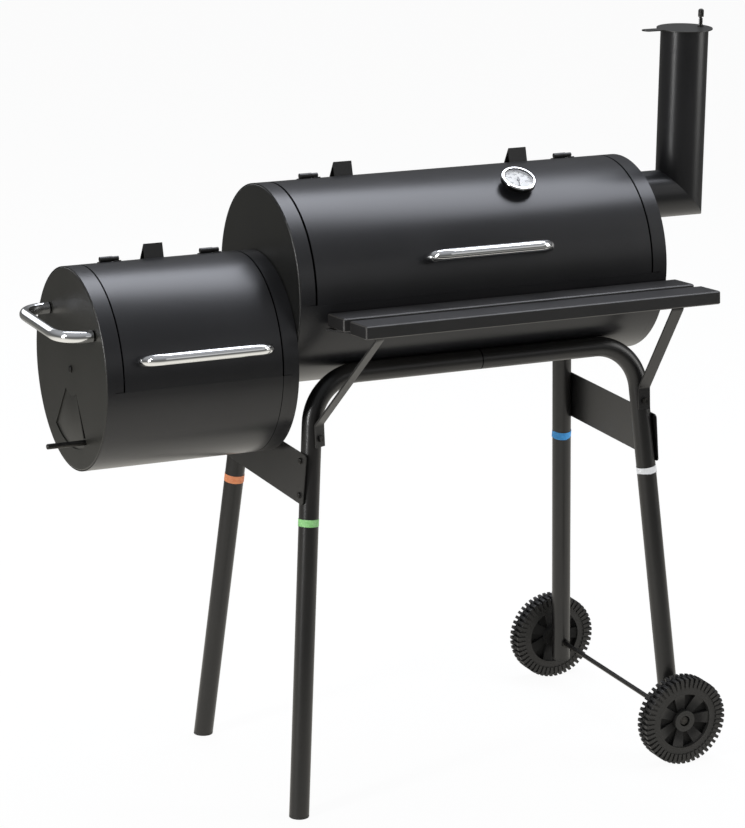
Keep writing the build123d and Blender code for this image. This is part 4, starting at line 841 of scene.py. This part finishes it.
# %% [markdown]
# ## End bands of the drums
# At both ends of each drum a band of sheet closes the shell, level with the lid, so that only a dark
# slit shows where the lid begins. The band could be one cylinder with a window cut in it, but a strip
# is simpler: a small flat profile is drawn in front of the drum's axis and spun round that axis. For a
# full turn its face is taken out first, so that none is left inside the closed ring.

# %% Roll a strip of sheet
DRUM_RADIUS = 0.1595
SHEET = 0.0012
FULL_TURN = 2 * math.pi
SAME_PLACE = 0.00001


def flat_profile(width, depth, middle):
    """A flat face of this width in X and depth in Y about a middle, left in edit mode."""
    bpy.ops.object.select_all(action="DESELECT")
    bpy.ops.mesh.primitive_plane_add(size=1.0)
    bpy.ops.object.mode_set(mode="EDIT")
    bpy.ops.mesh.select_all(action="SELECT")
    bpy.ops.transform.resize(value=(width, depth, 1), center_override=(0, 0, 0))
    bpy.ops.transform.translate(value=middle)


def close_mesh():
    """Merge doubles, turn the faces outwards and leave edit mode."""
    bpy.ops.mesh.select_all(action="SELECT")
    bpy.ops.mesh.remove_doubles(threshold=SAME_PLACE)
    bpy.ops.mesh.normals_make_consistent(inside=False)
    bpy.ops.object.mode_set(mode="OBJECT")
    return bpy.context.object


def rolled_band(x_from, x_to, axis_height, sweep, steps):
    """A strip of sheet round a drum's axis, from the front seam upwards, or down for a negative sweep."""
    front = (0, drum_middle.y - DRUM_RADIUS + SHEET / 2, axis_height)
    flat_profile(x_to - x_from, SHEET, front)
    bpy.ops.transform.translate(value=((x_from + x_to) / 2, 0, 0))
    if sweep == FULL_TURN:
        bpy.ops.mesh.delete(type="ONLY_FACE")
        bpy.ops.mesh.select_all(action="SELECT")
    bpy.ops.mesh.spin(steps=steps, angle=sweep, center=(0, drum_middle.y, axis_height), axis=(1, 0, 0))
    return close_mesh()


print("strips of", SHEET * 1000, "mm sheet, rolled to a radius of", DRUM_RADIUS * 1000, "mm")

# %% [markdown]
# A full turn makes the narrow ring along the end, and a part turn from the front seam to the hinge line
# fills in beside the lid.

# %% Close the drums' ends
BAND_EDGE = 0.0012
BODY_EDGE = 0.01365
HINGE_LINE = math.radians(103.0)
MAIN_AXIS = 0.822
FIREBOX_AXIS = 0.7155
RING_STEPS = 180
FILLER_STEPS = 52
SMOOTH_BELOW = math.radians(35)


def end_band(name, end_name, side, axis_height):
    """Both strips of one drum end, joined."""
    face_x, inward = end_face(end_name, side)
    body_edge = face_x + inward * BODY_EDGE
    ring = rolled_band(face_x + inward * BAND_EDGE, body_edge, axis_height, FULL_TURN, RING_STEPS)
    filler_end = face_x + inward * (LID_EDGE - LID_SLITS[end_name])
    filler = rolled_band(body_edge, filler_end, axis_height, HINGE_LINE, FILLER_STEPS)
    band = join_pieces(ring, filler)
    bpy.ops.object.shade_smooth_by_angle(angle=SMOOTH_BELOW)
    band.name = name
    band.data.materials.append(drum_paint.material)
    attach(band, "stand")
    print(name, "at x", round(face_x, 4), "faces", len(band.data.polygons))


end_band("firebox_band_left", "firebox_end_left", LEFT_END, FIREBOX_AXIS)
end_band("firebox_band_right", "firebox_end_right", RIGHT_END, FIREBOX_AXIS)
end_band("main_band_left", "main_end_left", LEFT_END, MAIN_AXIS)
end_band("main_band_right", "main_end_right", RIGHT_END, MAIN_AXIS)

# %% [markdown]
# Along the front the lid closes almost without a gap: its edge is hemmed, and the hem hangs just short
# of the body. The hem is one more strip, a single short step of the same spin, downwards from the seam.

# %% Hem the lids
HEM_DROP = 0.0009


def lid_hem(name, lid_name, axis_height):
    """A thin hem along the front edge of one lid, swinging with it."""
    low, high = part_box(lid_name)
    hem = rolled_band(low[0], high[0], axis_height, -HEM_DROP / DRUM_RADIUS, 1)
    hem.name = name
    hem.data.materials.append(drum_paint.material)
    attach(hem, lid_name)
    print(name, "drops to", round(min(v.co.z for v in hem.data.vertices), 5))


lid_hem("firebox_lid_hem", "firebox_lid", FIREBOX_AXIS)
lid_hem("main_lid_hem", "main_lid", MAIN_AXIS)

# %% [markdown]
# ## The damper flap
# Behind the vent in the firebox end hangs a fan-shaped flap. It is left a touch open: a narrow dark
# wedge shows between its front edge and the edge of the vent. A fan could be cut from a disc, but a
# spin needs no cutting: a strip of its section is drawn straight below the rivet, swung to the front
# edge and spun to the back edge. Without a window the rotate operator turns the other way, which is why
# the signs look odd.

# %% Cut the fan
FLAP_INNER = 0.006
FLAP_OUTER = 0.130
FLAP_FRONT = math.radians(27.5)
FLAP_BACK = math.radians(40.5)
FLAP_STEPS = 24
FLAP_CORNER = math.radians(60)
FLAP_BEVEL = 0.0004

rivet = middle_of("damper_rivet")
flap_middle_x = middle_of("damper_flap").x
flap_low, flap_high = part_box("damper_flap")
flap_sheet = flap_high[0] - flap_low[0]
flap_pin = (flap_middle_x, rivet.y, rivet.z)
flat_profile(flap_sheet, FLAP_OUTER - FLAP_INNER, (0, -(FLAP_OUTER + FLAP_INNER) / 2, 0))
bpy.ops.transform.rotate(value=-math.pi / 2, orient_axis="X", center_override=(0, 0, 0))
bpy.ops.transform.translate(value=flap_pin)
bpy.ops.transform.rotate(value=FLAP_FRONT, orient_axis="X", center_override=flap_pin)
bpy.ops.mesh.spin(steps=FLAP_STEPS, angle=-(FLAP_FRONT + FLAP_BACK), center=flap_pin, axis=(1, 0, 0))
bpy.ops.mesh.select_mode(type="EDGE")
bpy.ops.mesh.select_all(action="DESELECT")
bpy.ops.mesh.edges_select_sharp(sharpness=FLAP_CORNER)
bpy.ops.mesh.bevel(offset=FLAP_BEVEL, segments=2, affect="EDGES")
bpy.ops.mesh.select_mode(type="VERT")
fan = close_mesh()
print("fan of", round(flap_sheet * 1000, 2), "mm sheet, faces", len(fan.data.polygons))

# %% [markdown]
# Two small discs, round the rivet and under the knob, join the fan. They are a hair thinner than it is,
# so that no two faces lie in one plane and flicker.

# %% Add the eye and the lug
FLAP_EYE = 0.010
FLAP_LUG = 0.0065
DISC_SIDES = 40
DISC_SHARE = 0.9


def flap_disc(radius, middle):
    """A round disc in the flap's sheet, about a point on the firebox end."""
    thickness = flap_sheet * DISC_SHARE
    bpy.ops.object.select_all(action="DESELECT")
    bpy.ops.mesh.primitive_circle_add(vertices=DISC_SIDES, radius=radius, fill_type="NGON")
    bpy.ops.object.mode_set(mode="EDIT")
    bpy.ops.mesh.select_all(action="SELECT")
    bpy.ops.transform.rotate(value=math.pi / 2, orient_axis="Y", center_override=(0, 0, 0))
    bpy.ops.transform.translate(value=(flap_middle_x - thickness / 2, middle.y, middle.z))
    bpy.ops.mesh.extrude_region_move(TRANSFORM_OT_translate={"value": (thickness, 0, 0)})
    return close_mesh()


eye = flap_disc(FLAP_EYE, rivet)
knob_lug = flap_disc(FLAP_LUG, middle_of("damper_knob"))
flap = join_pieces(fan, eye, knob_lug)
flap.name = "damper_fan"
bpy.ops.object.shade_smooth_by_angle(angle=SMOOTH_BELOW)
flap.data.materials.append(end_paint.material)
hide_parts("damper_flap")
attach(flap, "damper")
print("damper fan box", [round(v, 4) for v in flap.bound_box[0]], [round(v, 4) for v in flap.bound_box[6]])

# %% [markdown]
# ## Tape on the legs
# Each leg carries a band of coloured tape, so that the four legs can be told apart while the stand is
# put together. Tape is wound by hand: it may sit a little askew, and its end laps over its start. A
# band could be painted on the tube, but then it would have no edge, so a ring is drawn round the leg
# and pulled up into a thin cuff, and the lapped end is a short strip spun round the same line, a hair
# further out.

# %% Shape the tape
TUBE_RADIUS = 0.016
TAPE_GAP = 0.00005
TAPE_SKIN = 0.0003
CUFF_SIDES = 72
LAP_STEPS = 24


def stretch_ring(share):
    """Widen or narrow the selected ring about the leg's line."""
    bpy.ops.transform.resize(value=(share, share, 1), center_override=(0, 0, 0))


def tape_cuff(width):
    """A full turn of tape about the Z axis, standing on the XY plane."""
    inner = TUBE_RADIUS + TAPE_GAP
    outer = TUBE_RADIUS + TAPE_SKIN
    bpy.ops.object.select_all(action="DESELECT")
    bpy.ops.mesh.primitive_circle_add(vertices=CUFF_SIDES, radius=inner)
    bpy.ops.object.mode_set(mode="EDIT")
    bpy.ops.mesh.select_all(action="SELECT")
    bpy.ops.mesh.extrude_region_move()
    stretch_ring(outer / inner)
    bpy.ops.mesh.extrude_region_move(TRANSFORM_OT_translate={"value": (0, 0, width)})
    bpy.ops.mesh.extrude_region_move()
    stretch_ring(inner / outer)
    return close_mesh()


def tape_lap(width, start, sweep, slip):
    """The lapped end: a small upright face spun part of the way round, slipped along the leg."""
    flat_profile(TAPE_SKIN, width, (0, 0, 0))
    bpy.ops.transform.rotate(value=math.pi / 2, orient_axis="X", center_override=(0, 0, 0))
    bpy.ops.transform.translate(value=(TUBE_RADIUS + TAPE_SKIN * 1.5, 0, width / 2 + slip))
    bpy.ops.transform.rotate(value=-start, orient_axis="Z", center_override=(0, 0, 0))
    bpy.ops.mesh.spin(steps=LAP_STEPS, angle=sweep, center=(0, 0, 0), axis=(0, 0, 1))
    return close_mesh()


print("tape", TAPE_SKIN * 1000, "mm thick")

# %% [markdown]
# The tape is crinkled paper: fibres and creases make its colour and its shine uneven, and it stays
# matt.

# %% Mix the tape's colours
FIBRE_STRETCH = (1.0, 1.0, 6.0)
CREASE_HEIGHT = 0.0002
TAPE_ROUGH = 0.55


def tape_finish(name, dull, bright):
    """Paper tape: fibres, faint creases and a matt face."""
    tape = Finish(name)
    fibres = tape.place.stretched(FIBRE_STRETCH).noise(scale=260.0, detail=3.0)
    creases = tape.place.noise(scale=90.0, detail=4.0, roughness=0.7)
    tape.varied(
        Base_Color=(fibres * 0.5 + creases * 0.5).step(0.25, 0.75).blend(dull, bright),
        Roughness=TAPE_ROUGH + creases.swing(0.3),
        Normal=(fibres * 0.4 + creases).bump(strength=0.4, distance=CREASE_HEIGHT),
    )
    return tape


orange_tape = tape_finish("orange_tape", (0.82, 0.23, 0.07, 1), (0.94, 0.38, 0.18, 1))
green_tape = tape_finish("green_tape", (0.15, 0.44, 0.11, 1), (0.34, 0.64, 0.28, 1))
blue_tape = tape_finish("blue_tape", (0.01, 0.24, 0.62, 1), (0.08, 0.42, 0.82, 1))
white_tape = tape_finish("white_tape", (0.70, 0.70, 0.70, 1), (0.82, 0.82, 0.81, 1))
print("four tapes mixed")

# %% [markdown]
# The legs lean outwards, so each band is made upright at the origin and then carried to its leg by one
# matrix, which leans it along the leg and sets it askew about its own middle.

# %% Wind the tape
LEG_TOP_HEIGHT = 0.69766
LEG_TOP_SPREAD = 0.124
LEG_FOOT_SPREAD = 0.2
LEFT_LEGS = {"top": -0.285, "foot": -0.337}
RIGHT_LEGS = {"top": 0.287, "foot": 0.348}
FRONT = -1
BACK = 1


def wind_tape(name, legs, facing, finish, low, high, lap, askew=0.0):
    """Put one band on a leg between two heights; lap is the strip's start, sweep and slip."""
    foot_y = drum_middle.y + facing * LEG_FOOT_SPREAD
    top_y = drum_middle.y + facing * LEG_TOP_SPREAD
    foot_point = Vector((drum_middle.x + legs["foot"], foot_y, 0.0))
    top_point = Vector((drum_middle.x + legs["top"], top_y, LEG_TOP_HEIGHT))
    along = (top_point - foot_point).normalized()
    start = foot_point + (top_point - foot_point) * (low / LEG_TOP_HEIGHT)
    width = (high - low) / along.z
    strip = tape_lap(width, *lap)
    band = join_pieces(tape_cuff(width), strip)
    lean = along.to_track_quat("Z", "Y").to_matrix().to_4x4()
    skew = Matrix.Translation((0, 0, width / 2)) @ Matrix.Rotation(math.radians(askew), 4, "Y")
    band.matrix_world = Matrix.Translation(start) @ lean @ skew @ Matrix.Translation((0, 0, -width / 2))
    bpy.ops.object.transform_apply(location=True, rotation=True, scale=True)
    bpy.ops.object.shade_smooth_by_angle(angle=SMOOTH_BELOW)
    band.name = name
    band.data.materials.append(finish.material)
    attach(band, "stand")
    print(name, "width", round(width * 1000, 1), "mm, faces", len(band.data.polygons))


wind_tape(
    "tape_back_left", LEFT_LEGS, BACK, orange_tape,
    low=0.4550, high=0.4675, lap=(0.3, 1.6, 0.0005),
)
wind_tape(
    "tape_front_left", LEFT_LEGS, FRONT, green_tape,
    low=0.4640, high=0.4755, lap=(0.6, 1.5, -0.0004),
)
wind_tape(
    "tape_back_right", RIGHT_LEGS, BACK, blue_tape,
    low=0.464, high=0.477, lap=(-2.9, 1.6, -0.0025), askew=4.0,
)
wind_tape(
    "tape_front_right", RIGHT_LEGS, FRONT, white_tape,
    low=0.482, high=0.493, lap=(-2.9, 1.5, -0.0025), askew=4.0,
)

# %% [markdown]
# ## Finish
# The plain Standard view keeps every colour as it was mixed. The trim must not make the smoker bigger
# than its solids.

# %% Set the view
bpy.context.scene.view_settings.view_transform = "Standard"
